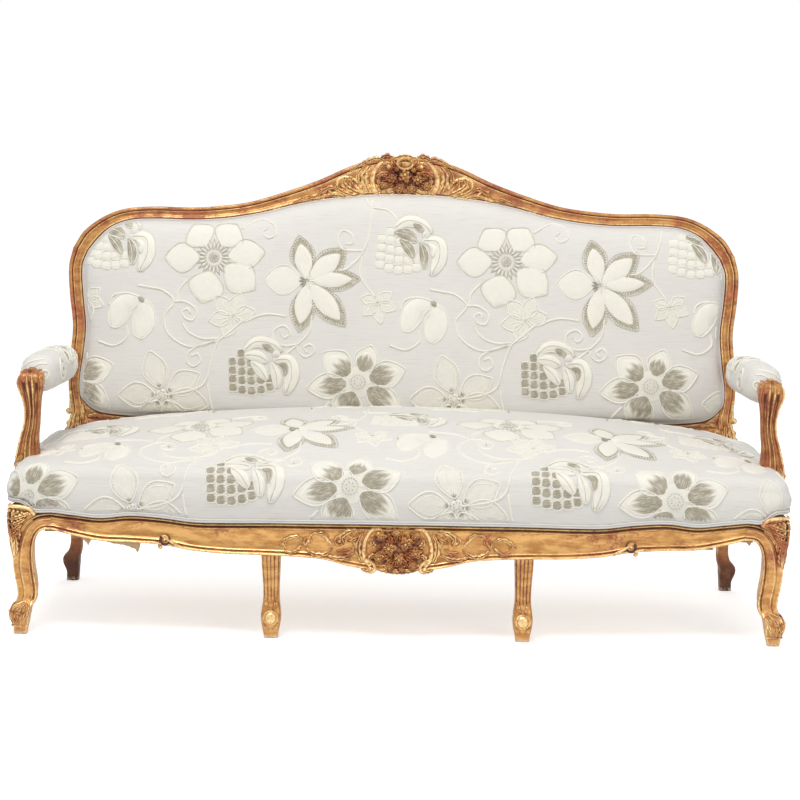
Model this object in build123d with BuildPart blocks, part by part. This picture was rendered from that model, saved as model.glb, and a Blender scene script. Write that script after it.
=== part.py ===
from build123d import *
import os
from math import cos, pi, radians, sin

# Upholstered settee with a carved and moulded show-wood frame. All sizes are in millimetres.
# +X is to the sitter's left as seen from the front, -Y is the front, +Z is up. While the pieces
# are made, y = 0 is the line of the front feet; at the end everything moves by one step in y, so
# that the origin is below the middle of the whole settee, on the floor.

# ---------------------------------------------------------------- clearances
joint_gap = 0.3            # at a shoulder, and all round a tenon in its mortise
cloth_gap = 0.4            # between two layers of upholstery
edge_gap = 0.8             # between upholstery and the wood beside it

# ---------------------------------------------------------------- mouldings
outer_bead = 10.0          # width of the bead along the outer edge of each show-wood member
inner_bead = 7.0           # width of the bead along the edge next to the cloth
bead_height = 4.0          # rise of the beads above their roots
inner_bead_drop = 1.0      # how much lower the inner bead's crown is than the outer one's
cove_depth = 7.0           # how far the hollow between the beads lies below their crowns

# ---------------------------------------------------------------- back frame
back_rake = 8.0            # lean of the back from the vertical, degrees
back_base_y = 494.6        # where the face of the back would meet the floor
back_half_width = 823.0    # middle of the back to the outside of a post
back_depth = 38.0          # thickness of posts, crest and bottom rail
shoulder_height = 935.0    # top of the shoulders, measured along the rake
tack_ledge = 12.0          # ledge inside the frame that carries webbing and pad
tack_ledge_depth = 24.0    # height of that ledge above the back face
bottom_rail_top = 424.0    # along the rake
bottom_rail_height = 40.0
# How the bottom rail's upper edge rises to the posts: (distance from its shoulder, rise)
bottom_rail_rise = ((0.0, 25.0), (15.0, 14.5), (32.0, 8.0), (70.0, 3.0), (120.0, 0.0))
bottom_rail_end = 54.0     # from the outside of a post to the shoulder of the bottom rail
post_flat_above = 6.0      # how far the post's flat shoulder passes the rail's top and its bottom
opening_side_start = 40.0  # above the bottom rail, where the opening starts to follow the post
crest_joint_drop = 103.0   # from the top of the shoulder down to the joint of post and crest

# Post outline from the seat to the joint: (height along the rake, outer inset, inner inset)
post_outline = (
    (286.0, 4.0, 36.0),
    (312.0, 4.0, 36.0),
    (369.0, 5.0, 41.0),
    (430.0, 12.0, 45.0),
    (492.0, 4.0, 36.0),
    (575.0, 8.0, 45.0),
    (640.0, 12.0, 50.0),
    (719.0, 3.0, 42.0),
    (786.0, 0.0, 39.0),
)
# Shoulder of the crest rail, from the joint inwards:
# (outer inset, outer drop, inner inset, inner drop), insets from the side, drops from the top
shoulder_outline = (
    (10.0, crest_joint_drop, 52.0, crest_joint_drop + 10.0),
    (36.0, 62.0, 74.0, 85.0),
    (83.0, 27.0, 107.0, 55.0),
    (134.0, 7.0, 151.0, 39.0),
    (208.0, 0.0, 215.0, 35.0),
    (303.0, 1.0, 307.0, 36.0),
)
# Hump of the crest rail, from its start to the middle: (outer x, outer rise, inner x, inner rise)
hump_outline = (
    (444.0, 5.0, 432.0, -30.0),
    (380.0, 15.0, 350.0, -16.0),
    (300.0, 39.0, 272.0, 4.0),
    (215.0, 70.0, 192.0, 20.0),
    (130.0, 108.0, 116.0, 29.0),
    (60.0, 127.0, 56.0, 33.0),
    (0.0, 132.0, 0.0, 34.0),
)

# ---------------------------------------------------------------- seat frame
rail_joint_x = 765.0       # middle to the shoulder of the front rail
front_rail_end_y = -16.0   # face of the front rail at its ends
front_rail_bow = 26.0      # how much further forward it is in the middle
front_rail_back_y = 36.0   # straight inner face of the front rail
cut_below = 100.0          # a height below every rail, where cuts from underneath start
# Front rail edges, from the middle to the shoulder: (x, top, bottom)
front_rail_outline = (
    (0.0, 264.0, 160.0),
    (60.0, 264.5, 163.0),
    (112.0, 264.0, 171.0),
    (160.0, 263.5, 183.0),
    (220.0, 263.0, 188.0),
    (300.0, 262.0, 190.0),
    (380.0, 260.0, 191.0),
    (450.0, 260.0, 196.0),
    (520.0, 267.5, 207.0),
    (590.0, 271.0, 211.0),
    (656.0, 264.5, 213.0),
    (712.0, 269.5, 223.0),
    (rail_joint_x, 275.0, 236.0),
)
side_rail_inner_x = 786.0  # straight inner face of the side rails
side_rail_front_y = 78.0   # shoulder against the front leg
post_front_y = 532.0       # shoulder against the back post
side_rail_top = 292.0
# Side rails, front to back: (y, outer x, bottom)
side_rail_outline = (
    (side_rail_front_y, 853.0, 239.0),
    (150.0, 859.0, 228.0),
    (240.0, 856.0, 220.0),
    (330.0, 847.0, 216.0),
    (430.0, 836.0, 220.0),
    (post_front_y, 825.0, 232.0),
)
rear_rail_y = 545.0        # front face of the rear seat rail
rear_rail_depth = 30.0
rear_rail_height = 66.0
rear_rail_top = 259.0      # below the seat hessian and level with the webbing
web_ledge_z = 214.0        # underside of the rails where the webbing is tacked
web_ledge = 22.0           # width of that ledge inside the show rails
web_ledge_height = 30.0    # height of the strip above that ledge
web_ledge_end_x = 704.0    # how far out the ledge of the front rail reaches
# How the rails' mouldings turn down into the corner leg:
# (distance past the shoulder, drop of the top, drop of the bottom)
front_wing = (
    (joint_gap, 0.0, 0.0),
    (12.0, -12.0, 1.0),
    (24.0, -20.0, 10.0),
    (34.0, -20.0, 32.0),
    (40.0, -19.0, 47.0),
)
side_wing = (
    (joint_gap, 0.0, 0.0),
    (14.0, 0.0, 3.0),
    (28.0, 0.0, 14.0),
    (40.0, 0.0, 36.0),
    (48.0, 0.0, 50.0),
)
brace_x = 270.0            # middle to each seat brace
brace_width = 36.0
brace_height = 38.0
brace_drop = 1.0           # top of the braces and corner blocks below the rails
corner_block_leg = 52.0
corner_block_height = 34.0
screw_radius = 2.5
screw_head_radius = 5.0
screw_length = 36.0
screw_inset = 15.6         # from the corner to the screw's line, along the other rail
screw_head_out = 21.8      # from the corner to the screw's head, along the screw
screw_stagger = 8.0        # above and below the middle of the block

# ---------------------------------------------------------------- tenons
tenon_thick = 12.0
tenon_tall = 30.0
tenon_long = 26.0
tenon_root = 5.0           # how far a tenon reaches back into its own piece
front_tenon_z = 255.5
side_front_tenon_z = 268.0
side_back_tenon_z = 264.0
rear_tenon_tall = 26.0
rear_tenon_long = 11.0
rear_tenon_drop = 26.0     # from the rear rail's top to the middle of its tenon
middle_tenon_wide = 26.0
brace_tenon_wide = 24.0
brace_tenon_long = 12.0
bottom_tenon_wide = 24.0
arm_tenon_long = 20.0
arm_tenon_root = 8.0
arm_rise = 561.0           # height along the rake where the arm meets the post
arm_peg_long = 18.0

# ---------------------------------------------------------------- legs
leg_corner = 0.9           # how square the section of a leg or an arm is: 1 is a full square
front_foot_x = 835.0
# Front corner leg: (z, how far it stands in from the foot along both axes, side of the section)
front_leg_outline = (
    (0.0, 0.0, 28.0),
    (10.0, 0.0, 31.0),
    (26.0, 1.0, 36.0),
    (46.0, 1.0, 43.0),
    (62.0, 4.0, 43.0),
    (78.0, 13.0, 36.0),
    (98.0, 19.0, 32.0),
    (122.0, 16.0, 37.0),
    (156.0, 10.0, 42.0),
    (200.0, 6.0, 49.0),
    (240.0, 5.0, 55.0),
    (270.0, 5.0, 57.0),
    (290.0, 5.0, 54.0),
)
middle_leg_x = 279.0
middle_leg_top = 190.0
# Middle leg: (z, y, width, depth)
middle_leg_outline = (
    (0.0, 2.5, 32.0, 32.0),
    (12.0, 1.5, 35.0, 36.0),
    (32.0, 0.5, 43.0, 43.0),
    (50.0, 0.5, 46.0, 44.0),
    (66.0, 4.0, 43.0, 38.0),
    (84.0, 9.0, 38.0, 33.0),
    (104.0, 9.0, 37.0, 33.0),
    (140.0, 2.0, 40.0, 38.0),
    (170.0, -7.0, 43.0, 43.0),
    (middle_leg_top, -10.0, 44.0, 44.0),
)
post_block_top = 300.0
post_block_back_y = 578.0
post_block_bottom = 214.0
# Foot of the back post: (z, x, y, width, depth)
back_leg_outline = (
    (0.0, 810.0, 570.0, 30.0, 30.0),
    (24.0, 809.5, 571.0, 32.0, 33.0),
    (45.0, 813.0, 573.0, 42.0, 40.0),
    (59.0, 812.0, 571.0, 42.0, 40.0),
    (78.0, 802.0, 563.0, 33.0, 34.0),
    (105.0, 798.5, 560.0, 29.5, 31.0),
    (160.0, 801.0, 557.0, 33.0, 36.0),
    (216.0, 806.0, 555.0, 36.0, 42.0),
)

# ---------------------------------------------------------------- arms
arm_base_x = 835.0
arm_base_y = 150.0
# Arm support: (z, x, y, width, depth), from the side rail to the underside of the arm
arm_joint_z = 534.0
arm_support_outline = (
    (side_rail_top + joint_gap, arm_base_x, arm_base_y, 50.0, 50.0),
    (330.0, 841.0, 150.0, 55.0, 48.0),
    (365.0, 843.0, 148.0, 57.0, 44.0),
    (418.0, 838.0, 140.0, 43.0, 40.0),
    (450.0, 831.0, 134.0, 36.0, 38.0),
    (481.0, 828.0, 129.0, 35.0, 37.0),
    (512.0, 829.0, 126.0, 43.0, 40.0),
    (arm_joint_z - joint_gap, 830.0, 124.0, 54.0, 44.0),
)
# Arm, back to front: (y, x, z of the middle, width, height)
arm_outline = (
    (600.0, 804.5, 556.0, 22.0, 36.0),
    (520.0, 804.5, 553.0, 25.0, 34.0),
    (440.0, 809.0, 549.0, 35.0, 30.0),
    (300.0, 817.0, 549.0, 35.0, 30.0),
    (180.0, 824.0, 549.5, 38.0, 31.0),
    (146.0, 828.0, 554.0, 51.0, 39.0),
    (118.0, 830.0, 555.0, 58.0, 42.0),
    (104.0, 831.0, 556.0, 54.0, 32.0),
    (98.0, 831.0, 556.0, 44.0, 18.0),
)
arm_flat_past = 10.0       # how far the arm's flat underside passes its support's middle
pad_corner = 0.74          # how square the section of an arm pad is
# Arm pad, back to front: (y, x, z of the middle, width, height)
arm_pad_outline = (
    (452.0, 809.0, 556.0, 46.0, 44.0),
    (440.0, 810.0, 557.0, 66.0, 70.0),
    (405.0, 813.0, 559.0, 80.0, 86.0),
    (300.0, 819.0, 560.0, 82.0, 88.0),
    (200.0, 824.0, 560.0, 80.0, 86.0),
    (166.0, 826.0, 559.0, 68.0, 72.0),
    (154.0, 827.0, 558.0, 48.0, 48.0),
)

# ---------------------------------------------------------------- seat upholstery
seat_end_x = 869.0         # furthest bulge of the seat at its sides
seat_skin = 3.0            # cover, wadding and calico together
# Seat sections, from the middle to the side: (x, height of the front edge, height of the crown,
# back edge y)
seat_shape = (
    (0.0, 384.0, 458.0, 560.0),
    (240.0, 384.0, 452.0, 560.0),
    (450.0, 383.0, 440.0, 560.0),
    (656.0, 381.0, 420.0, 560.0),
    (712.0, 380.0, 412.0, 556.0),
    (rail_joint_x, 379.0, 404.0, 538.0),
)
# Rounded ends of the seat beyond the front rail: (x, bottom, front edge, crown, back edge y)
seat_end_shape = (
    (782.0, 299.0, 378.0, 399.0, 526.0),
    (812.0, 299.0, 376.0, 391.0, 523.0),
    (842.0, 300.0, 370.0, 381.0, 520.0),
    (858.0, 305.0, 361.0, 369.0, 515.0),
    (seat_end_x, 320.0, 342.0, 347.0, 500.0),
)
seat_back_lean = 24.0      # how far the back of the seat leans forward over its height
seat_front_swell = 9.0     # how far the front of the seat swells past the rail
seat_end_swell = 0.6       # share of that swell at the rounded ends
seat_swell_at = 0.55       # where on the front's height the swell is fullest
seat_roll = 26.0           # how far back the front edge rolls over
seat_crown_back = 60.0     # how far behind the seat's middle its crown lies
seat_rear_rise = 0.45      # share of the crown that is left at the back
seat_end_sweep = 0.003     # how the front sweeps back at the ends: y = share * distance squared
seat_cover_tuck = 20.0     # how far the hollow inside the cover passes its lower edge
notch_room = 3.0           # between the seat and the foot of an arm support
notch_lean = 7.0           # room in front of that support, which leans forward
notch_top = 480.0
notch_outer_x = 900.0
spring_columns = (75.0, 195.0, 350.0, 480.0, 610.0)
spring_rows = (130.0, 285.0, 440.0)
spring_cavity_x = 690.0    # half length of the hollow that holds the springs
spring_cavity_margin = 44.0  # between that hollow and the rear rail
spring_height = 162.0
spring_radius = 44.0
spring_waist = 27.0
spring_turns = 4
spring_wire = 2.0          # radius of the wire
web_width = 50.0
outer_web_column = 675.0
web_thickness = 1.5
web_reach_front = 15.0     # from the front rail's inner face to the end of a web
web_reach_back = 11.0      # from the rear rail's face to the end of a web
web_reach_side = 14.0      # from a side rail's inner face to the end of a web
hessian_thickness = 1.2
dust_cover_thickness = 1.0
dust_cover_margin = 4.0    # from the end of the front rail's ledge to the dust cover

# ---------------------------------------------------------------- back upholstery
back_crown = 46.0          # how far the back pad stands in front of the frame
back_skin = 3.0
# Swell of the back pad: (how far in from its edge, share of the whole rise)
back_swell = (
    (0.0, 0.0),
    (0.0, 0.2),
    (2.0, 0.38),
    (7.0, 0.56),
    (16.0, 0.72),
    (32.0, 0.84),
    (62.0, 0.93),
    (110.0, 0.98),
    (190.0, 1.0),
)
back_web_columns = (75.0, 225.0, 375.0, 525.0, 675.0)
back_web_rises = (560.0, 700.0, 840.0)
back_layer_gap = 1.8       # between the layers inside the opening and the frame round them
back_cover_tuck = 6.0      # how far the hollow inside the cover passes its rear edge
outside_back_thickness = 1.5
outside_back_share = 0.4   # where its edge lies, from the opening (0) to the outer edge (1)
welt_width = 9.0           # double welt, both cords
welt_height = 4.0
welt_margin = 0.5          # from the edge of the opening to the welt
seat_welt_stand = 6.0      # how far in front of the rail's face the seat's welt lies

# ---------------------------------------------------------------- carved cartouches
crest_cartouche_half_width = 84.0
crest_cartouche_height = hump_outline[-1][1] - hump_outline[-1][3] - 2 * (welt_width + 2)
apron_cartouche_half_width = 74.0
apron_cartouche_height = 96.0
cartouche_relief = 13.0
# Dome of a cartouche: (share of its relief, share of its width and height)
cartouche_dome = ((0.0, 1.0), (0.55, 0.92), (1.0, 0.62))

opening_side_low = bottom_rail_top + opening_side_start
back_normal = Vector(0, -cos(radians(back_rake)), sin(radians(back_rake)))
back_up = Vector(0, sin(radians(back_rake)), cos(radians(back_rake)))


# ================================================================ shared helpers
def back_point(x, rise, height=0.0):
    """A point of the raked back: x across, rise along the rake, height in front of its face."""
    return Vector(x, back_base_y, 0) + back_up * rise + back_normal * height


def back_plane(height=0.0):
    """The plane parallel to the face of the back, with its own y along the rake."""
    return Plane(origin=back_point(0, 0, height), x_dir=(1, 0, 0), z_dir=back_normal)


def mirrored(piece):
    """The same piece for the other side of the settee."""
    with BuildPart() as other:
        mirror(piece, about=Plane.YZ)
    return other.part


def bar(plane, width, height, length, back=0.0, extra=0.0):
    """A straight bar along the plane's normal, grown by extra on every face that it passes."""
    with BuildPart() as made:
        with BuildSketch(plane.offset(-back)):
            Rectangle(width + 2 * extra, height + 2 * extra)
        extrude(amount=length + back + extra)
    return made.part


def block(low, high):
    """A box between two corners."""
    size = Vector(*high) - Vector(*low)
    with BuildPart() as made:
        with Locations((Vector(*high) + Vector(*low)) * 0.5):
            Box(size.X, size.Y, size.Z)
    return made.part


def eased(rows, steps=2):
    """The rows of an outline with smooth in-between rows, on curves through the given ones."""
    reach = [0.0]
    for before, after in zip(rows, rows[1:]):
        gap = sum((b - a) ** 2 for a, b in zip(before[:2], after[:2])) ** 0.5
        reach.append(reach[-1] + gap)
    slopes = []
    for i in range(len(rows)):
        low = max(i - 1, 0)
        high = min(i + 1, len(rows) - 1)
        run = reach[high] - reach[low]
        slopes.append([(b - a) / run for a, b in zip(rows[low], rows[high])])
    smooth = []
    for i in range(len(rows) - 1):
        run = reach[i + 1] - reach[i]
        for step in range(steps):
            u = step / steps
            keep = 2 * u**3 - 3 * u**2 + 1
            leave = (u**3 - 2 * u**2 + u) * run
            arrive = (u**3 - u**2) * run
            parts = zip(rows[i], rows[i + 1], slopes[i], slopes[i + 1])
            smooth.append(
                tuple(a * keep + b * (1 - keep) + c * leave + d * arrive for a, b, c, d in parts)
            )
    smooth.append(tuple(rows[-1]))
    return smooth


def moulded_loft(stations):
    """A member with a bead along both edges and a hollow between them.

    Each station is (plane, width, depth, ledge): the plane's x points to the outer edge, its y to
    the show face. The ledge is a step inside the inner edge that carries upholstery.
    """
    with BuildPart() as member:
        for plane, width, depth, ledge in stations:
            outer = width / 2
            inner = -width / 2
            root = depth - bead_height
            hollow = (outer - outer_bead + inner + inner_bead) / 2
            with BuildSketch(plane):
                with BuildLine():
                    if ledge:
                        Polyline(
                            (inner, root),
                            (inner, tack_ledge_depth),
                            (inner - ledge, tack_ledge_depth - 0.2),
                            (inner - ledge, 0),
                            (outer, 0),
                            (outer, root),
                        )
                    else:
                        Polyline((inner, root), (inner, 0), (outer, 0), (outer, root))
                    ThreePointArc(
                        (outer, root),
                        (outer - outer_bead / 2, depth),
                        (outer - outer_bead, root),
                    )
                    ThreePointArc(
                        (outer - outer_bead, root),
                        (hollow, depth - cove_depth),
                        (inner + inner_bead, root),
                    )
                    ThreePointArc(
                        (inner + inner_bead, root),
                        (inner + inner_bead / 2, depth - inner_bead_drop),
                        (inner, root),
                    )
                make_face()
        loft(ruled=True)
    return member.part


def rounded_loft(sections, corner_share):
    """A curved member through four-sided sections with bulging sides: (plane, width, height).

    corner_share is how far out the corners stand, as a share of the half sizes.
    """
    with BuildPart() as member:
        for plane, width, height in sections:
            right = width / 2
            top = height / 2
            corner_x = right * corner_share
            corner_y = top * corner_share
            with BuildSketch(plane):
                with BuildLine():
                    ThreePointArc((corner_x, -corner_y), (right, 0), (corner_x, corner_y))
                    ThreePointArc((corner_x, corner_y), (0, top), (-corner_x, corner_y))
                    ThreePointArc((-corner_x, corner_y), (-right, 0), (-corner_x, -corner_y))
                    ThreePointArc((-corner_x, -corner_y), (0, -top), (corner_x, -corner_y))
                make_face()
        loft(ruled=True)
    return member.part


def back_station(outer, inner, ledge):
    """The moulding's section between an outer and an inner point of the back's outline."""
    outer_at = back_point(*outer)
    inner_at = back_point(*inner)
    across = (outer_at - inner_at).normalized()
    middle = (outer_at + inner_at) * 0.5 - back_normal * back_depth
    plane = Plane(origin=middle, x_dir=across, z_dir=across.cross(back_normal))
    return plane, (outer_at - inner_at).length, back_depth, ledge


# ================================================================ outlines in the back's plane
def eased_pairs(pairs):
    """(outer, inner) pairs with smooth in-between pairs."""
    rows = eased([(*outer, *inner) for outer, inner in pairs])
    return [((row[0], row[1]), (row[2], row[3])) for row in rows]


def left_crest_points():
    """(outer, inner) points of the crest rail's left half, from its joint to the middle."""
    pairs = []
    for outer_inset, outer_drop, inner_inset, inner_drop in shoulder_outline:
        outer = (outer_inset - back_half_width, shoulder_height - outer_drop)
        inner = (inner_inset - back_half_width, shoulder_height - inner_drop)
        pairs.append((outer, inner))
    for outer_x, outer_rise, inner_x, inner_rise in hump_outline:
        outer = (-outer_x, shoulder_height + outer_rise)
        inner = (-inner_x, shoulder_height + inner_rise)
        pairs.append((outer, inner))
    return eased_pairs(pairs)


def left_post_points():
    """(outer, inner) points of the left post, from the seat frame up to its joint."""
    pairs = []
    for rise, outer_inset, inner_inset in post_outline:
        pairs.append(((outer_inset - back_half_width, rise), (inner_inset - back_half_width, rise)))
    pairs.append(left_crest_points()[0])
    return eased_pairs(pairs)


def bottom_rail_points():
    """(lower, upper) points of the bottom rail, left to right."""
    end = back_half_width - bottom_rail_end
    lower = bottom_rail_top - bottom_rail_height
    left = []
    for inwards, rise in (*bottom_rail_rise, (end, 0.0)):
        left.append(((inwards - end, lower), (inwards - end, bottom_rail_top + rise)))
    right = [((-low[0], low[1]), (-top[0], top[1])) for low, top in left[-2::-1]]
    return left + right


def opening_side(inset):
    """Left half of the opening's outline, drawn in by an inset, from the bottom to the top."""
    ring = [inner for _, inner in left_post_points() if inner[1] > opening_side_low]
    ring = ring + [inner for _, inner in left_crest_points()[1:]]
    points = []
    for index, (x, rise) in enumerate(ring):
        before = Vector(*ring[max(index - 1, 0)])
        after = Vector(*ring[min(index + 1, len(ring) - 1)])
        along = Vector(1, 0) if x == 0 else (after - before).normalized()
        points.append((x + along.Y * inset, rise - along.X * inset))
    return points


def opening_foot(inset):
    """Left half of the opening's lower edge, raised by an inset, from the middle to the post."""
    points = [top for _, top in bottom_rail_points() if top[0] <= 0.0]
    return [(x, rise + inset) for x, rise in points[::-1]]


def mirror_point(point):
    """The same outline point on the right half."""
    return (-point[0], point[1])


def opening_ring(inset):
    """The whole outline of the opening, drawn in by an inset, from the left post clockwise."""
    left = opening_foot(inset)[1:] + opening_side(inset)
    return left + [mirror_point(point) for point in left[-2::-1]]


def opening_solid(inset, height, thickness):
    """A flat layer that fills the opening of the back, from a height in front of its face."""
    with BuildPart() as layer:
        with BuildSketch(back_plane(height)):
            with BuildLine():
                Polyline(*opening_ring(inset), close=True)
            make_face()
        extrude(amount=thickness)
    return layer.part


def drawn_in(point, distance):
    """The outline point moved towards the middle of the opening, alike all round."""
    middle = (bottom_rail_top + shoulder_height) / 2
    across = 1 - distance / back_half_width
    upward = 1 - distance / (middle - bottom_rail_top)
    return (point[0] * across, middle + (point[1] - middle) * upward)


def back_pad_form(inset, start):
    """The crowned form of the back upholstery, drawn in by an inset, from a starting height."""
    rise = back_crown - inset + (back_depth - tack_ledge_depth)
    with BuildPart() as form:
        for step, (draw_in, share) in enumerate(back_swell):
            height = start if step == 0 else tack_ledge_depth - back_depth + rise * share
            with BuildSketch(back_plane(height)):
                with BuildLine():
                    ring = [drawn_in(point, draw_in) for point in opening_ring(edge_gap + inset)]
                    Polyline(*ring, close=True)
                make_face()
        loft(ruled=True)
    return form.part


# ================================================================ seat frame outlines
def front_rail_face(x):
    """y of the front rail's face: a shallow bow."""
    return front_rail_end_y - front_rail_bow * (1 + cos(pi * x / rail_joint_x)) / 2


def front_rail_station(x, top, bottom):
    """The front rail's section at one place along it."""
    plane = Plane(
        origin=(x, front_rail_back_y, (top + bottom) / 2), x_dir=(0, 0, -1), z_dir=(-1, 0, 0)
    )
    return plane, top - bottom, front_rail_back_y - front_rail_face(x), None


def side_rail_station(y, outer_x, top, bottom):
    """The left side rail's section at one place along it."""
    plane = Plane(
        origin=(-side_rail_inner_x, y, (top + bottom) / 2), x_dir=(0, 0, -1), z_dir=(0, 1, 0)
    )
    return plane, top - bottom, outer_x - side_rail_inner_x, None


# ================================================================ seat frame
front_tenon_plane = Plane(
    origin=(-rail_joint_x, (front_rail_end_y + front_rail_back_y) / 2, front_tenon_z),
    x_dir=(0, 1, 0),
    z_dir=(-1, 0, 0),
)
side_tenon_x = (side_rail_inner_x + side_rail_outline[0][1]) / 2
side_front_tenon_plane = Plane(
    origin=(-side_tenon_x, side_rail_front_y, side_front_tenon_z),
    x_dir=(1, 0, 0),
    z_dir=(0, -1, 0),
)
post_tenon_x = (side_rail_inner_x + side_rail_outline[-1][1]) / 2
side_back_tenon_plane = Plane(
    origin=(-post_tenon_x, post_front_y, side_back_tenon_z),
    x_dir=(1, 0, 0),
    z_dir=(0, 1, 0),
)
support_tenon_plane = Plane(origin=(-arm_base_x, arm_base_y, side_rail_top), z_dir=(0, 0, -1))
rear_tenon_plane = Plane(
    origin=(-side_rail_inner_x, rear_rail_y + rear_rail_depth / 2, rear_rail_top - rear_tenon_drop),
    x_dir=(0, 1, 0),
    z_dir=(-1, 0, 0),
)
middle_leg_seat = middle_leg_outline[-1]
brace_top = rear_rail_top - brace_drop


def middle_tenon(side, extra=0.0):
    """The tenon on top of a middle leg."""
    plane = Plane(origin=(side * middle_leg_x, middle_leg_seat[1], middle_leg_top))
    return bar(plane, middle_tenon_wide, tenon_thick, tenon_long, tenon_root, extra)


def brace_tenon(side, at_y, towards, extra=0.0):
    """The tenon at one end of a seat brace."""
    middle_z = brace_top - brace_height / 2
    plane = Plane(origin=(side * brace_x, at_y, middle_z), x_dir=(1, 0, 0), z_dir=(0, towards, 0))
    return bar(plane, brace_tenon_wide, tenon_thick, brace_tenon_long, tenon_root, extra)


front_rail_places = eased(front_rail_outline)
right_half = [front_rail_station(*place) for place in front_rail_places]
left_half = [front_rail_station(-x, top, low) for x, top, low in front_rail_places[1:]]
with BuildPart() as front_rail:
    add(moulded_loft(left_half[::-1] + right_half))
    # Strip inside the rail that keeps the webbing in one plane
    add(
        block(
            (-web_ledge_end_x, front_rail_back_y - web_ledge, web_ledge_z),
            (web_ledge_end_x, front_rail_back_y, web_ledge_z + web_ledge_height),
        )
    )
    # Rebate behind the face for the webbing
    add(
        block(
            (-rail_joint_x - 1, front_rail_back_y - web_ledge, cut_below),
            (rail_joint_x + 1, front_rail_back_y + 1, web_ledge_z),
        ),
        mode=Mode.SUBTRACT,
    )
    for side in (-1, 1):
        # Flat seat and mortise for a middle leg
        leg_x = side * middle_leg_x
        half_leg = middle_leg_seat[2] / 2 + joint_gap
        add(
            block(
                (leg_x - half_leg, front_rail_face(middle_leg_x) - 1, cut_below),
                (leg_x + half_leg, front_rail_back_y, middle_leg_top + joint_gap),
            ),
            mode=Mode.SUBTRACT,
        )
        add(middle_tenon(side, joint_gap), mode=Mode.SUBTRACT)
        add(brace_tenon(side, front_rail_back_y, -1, joint_gap), mode=Mode.SUBTRACT)
    front_rail_tenon = bar(front_tenon_plane, tenon_thick, tenon_tall, tenon_long, back=tenon_root)
    add(front_rail_tenon)
    add(mirrored(front_rail_tenon))

with BuildPart() as side_rail_left:
    add(
        moulded_loft(
            [side_rail_station(y, x, side_rail_top, low) for y, x, low in eased(side_rail_outline)]
        )
    )
    add(
        block(
            (-side_rail_inner_x - web_ledge, side_rail_front_y, web_ledge_z),
            (-side_rail_inner_x, post_front_y, web_ledge_z + web_ledge_height),
        )
    )
    add(bar(side_front_tenon_plane, tenon_thick, tenon_tall, tenon_long, back=tenon_root))
    add(bar(side_back_tenon_plane, tenon_thick, tenon_tall, tenon_long, back=tenon_root))
    # Mortise for the arm support
    add(
        bar(support_tenon_plane, tenon_thick, tenon_tall, tenon_long, back=tenon_root, extra=joint_gap),
        mode=Mode.SUBTRACT,
    )

with BuildPart() as rear_seat_rail:
    add(
        block(
            (-side_rail_inner_x + joint_gap, rear_rail_y, rear_rail_top - rear_rail_height),
            (
                side_rail_inner_x - joint_gap,
                rear_rail_y + rear_rail_depth,
                rear_rail_top,
            ),
        )
    )
    # Rebate for the webbing
    add(
        block(
            (-rail_joint_x, rear_rail_y - 1, rear_rail_top - rear_rail_height - 1),
            (rail_joint_x, rear_rail_y + rear_rail_depth / 2, web_ledge_z),
        ),
        mode=Mode.SUBTRACT,
    )
    rear_tenon = bar(rear_tenon_plane, tenon_thick, rear_tenon_tall, rear_tenon_long, back=tenon_root)
    add(rear_tenon)
    add(mirrored(rear_tenon))
    for side in (-1, 1):
        add(brace_tenon(side, rear_rail_y, 1, joint_gap), mode=Mode.SUBTRACT)


# ================================================================ legs
def leg_wing_stations():
    """Where the front rail's moulding turns down into the corner leg: (x, top, bottom)."""
    _, top, low = front_rail_outline[-1]
    return [(-rail_joint_x - past, top - drop, low - fall) for past, drop, fall in front_wing]


def side_wing_stations():
    """Where the side rail's moulding turns down into the corner leg: (y, outer x, top, bottom)."""
    start_y, outer_x, low = side_rail_outline[0]
    return [(start_y - past, outer_x, side_rail_top - drop, low - fall) for past, drop, fall in side_wing]


with BuildPart() as front_leg_left:
    cabriole = []
    for z, stand_in, side in eased(front_leg_outline):
        plane = Plane(origin=(stand_in - front_foot_x, stand_in, z))
        cabriole.append((plane, side, side))
    add(rounded_loft(cabriole, leg_corner))
    add(moulded_loft([front_rail_station(*place) for place in leg_wing_stations()]))
    add(moulded_loft([side_rail_station(*place) for place in side_wing_stations()]))
    # Mortises for the two rails, from the same bars as their tenons
    add(
        bar(front_tenon_plane, tenon_thick, tenon_tall, tenon_long, back=tenon_root, extra=joint_gap),
        mode=Mode.SUBTRACT,
    )
    add(
        bar(side_front_tenon_plane, tenon_thick, tenon_tall, tenon_long, back=tenon_root, extra=joint_gap),
        mode=Mode.SUBTRACT,
    )

with BuildPart() as middle_leg_left:
    add(
        rounded_loft(
            [
                (Plane(origin=(-middle_leg_x, y, z)), width, depth)
                for z, y, width, depth in eased(middle_leg_outline)
            ],
            leg_corner,
        )
    )
    add(middle_tenon(-1))
middle_leg_right = mirrored(middle_leg_left.part)

# ================================================================ back frame
crest_joint = back_station(*left_post_points()[-1], tack_ledge)[0]
crest_tenon_plane = Plane(
    origin=crest_joint.origin + back_normal * back_depth / 2,
    x_dir=crest_joint.x_dir,
    z_dir=crest_joint.z_dir,
)
bottom_rail_end_x = back_half_width - bottom_rail_end
bottom_tenon_plane = Plane(
    origin=back_point(-bottom_rail_end_x, bottom_rail_top - bottom_rail_height / 2, -back_depth / 2),
    x_dir=back_normal,
    z_dir=(-1, 0, 0),
)
arm_tenon_plane = Plane(
    origin=back_point(-arm_outline[1][1], arm_rise, 0),
    x_dir=(1, 0, 0),
    z_dir=-back_normal,
)

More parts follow.
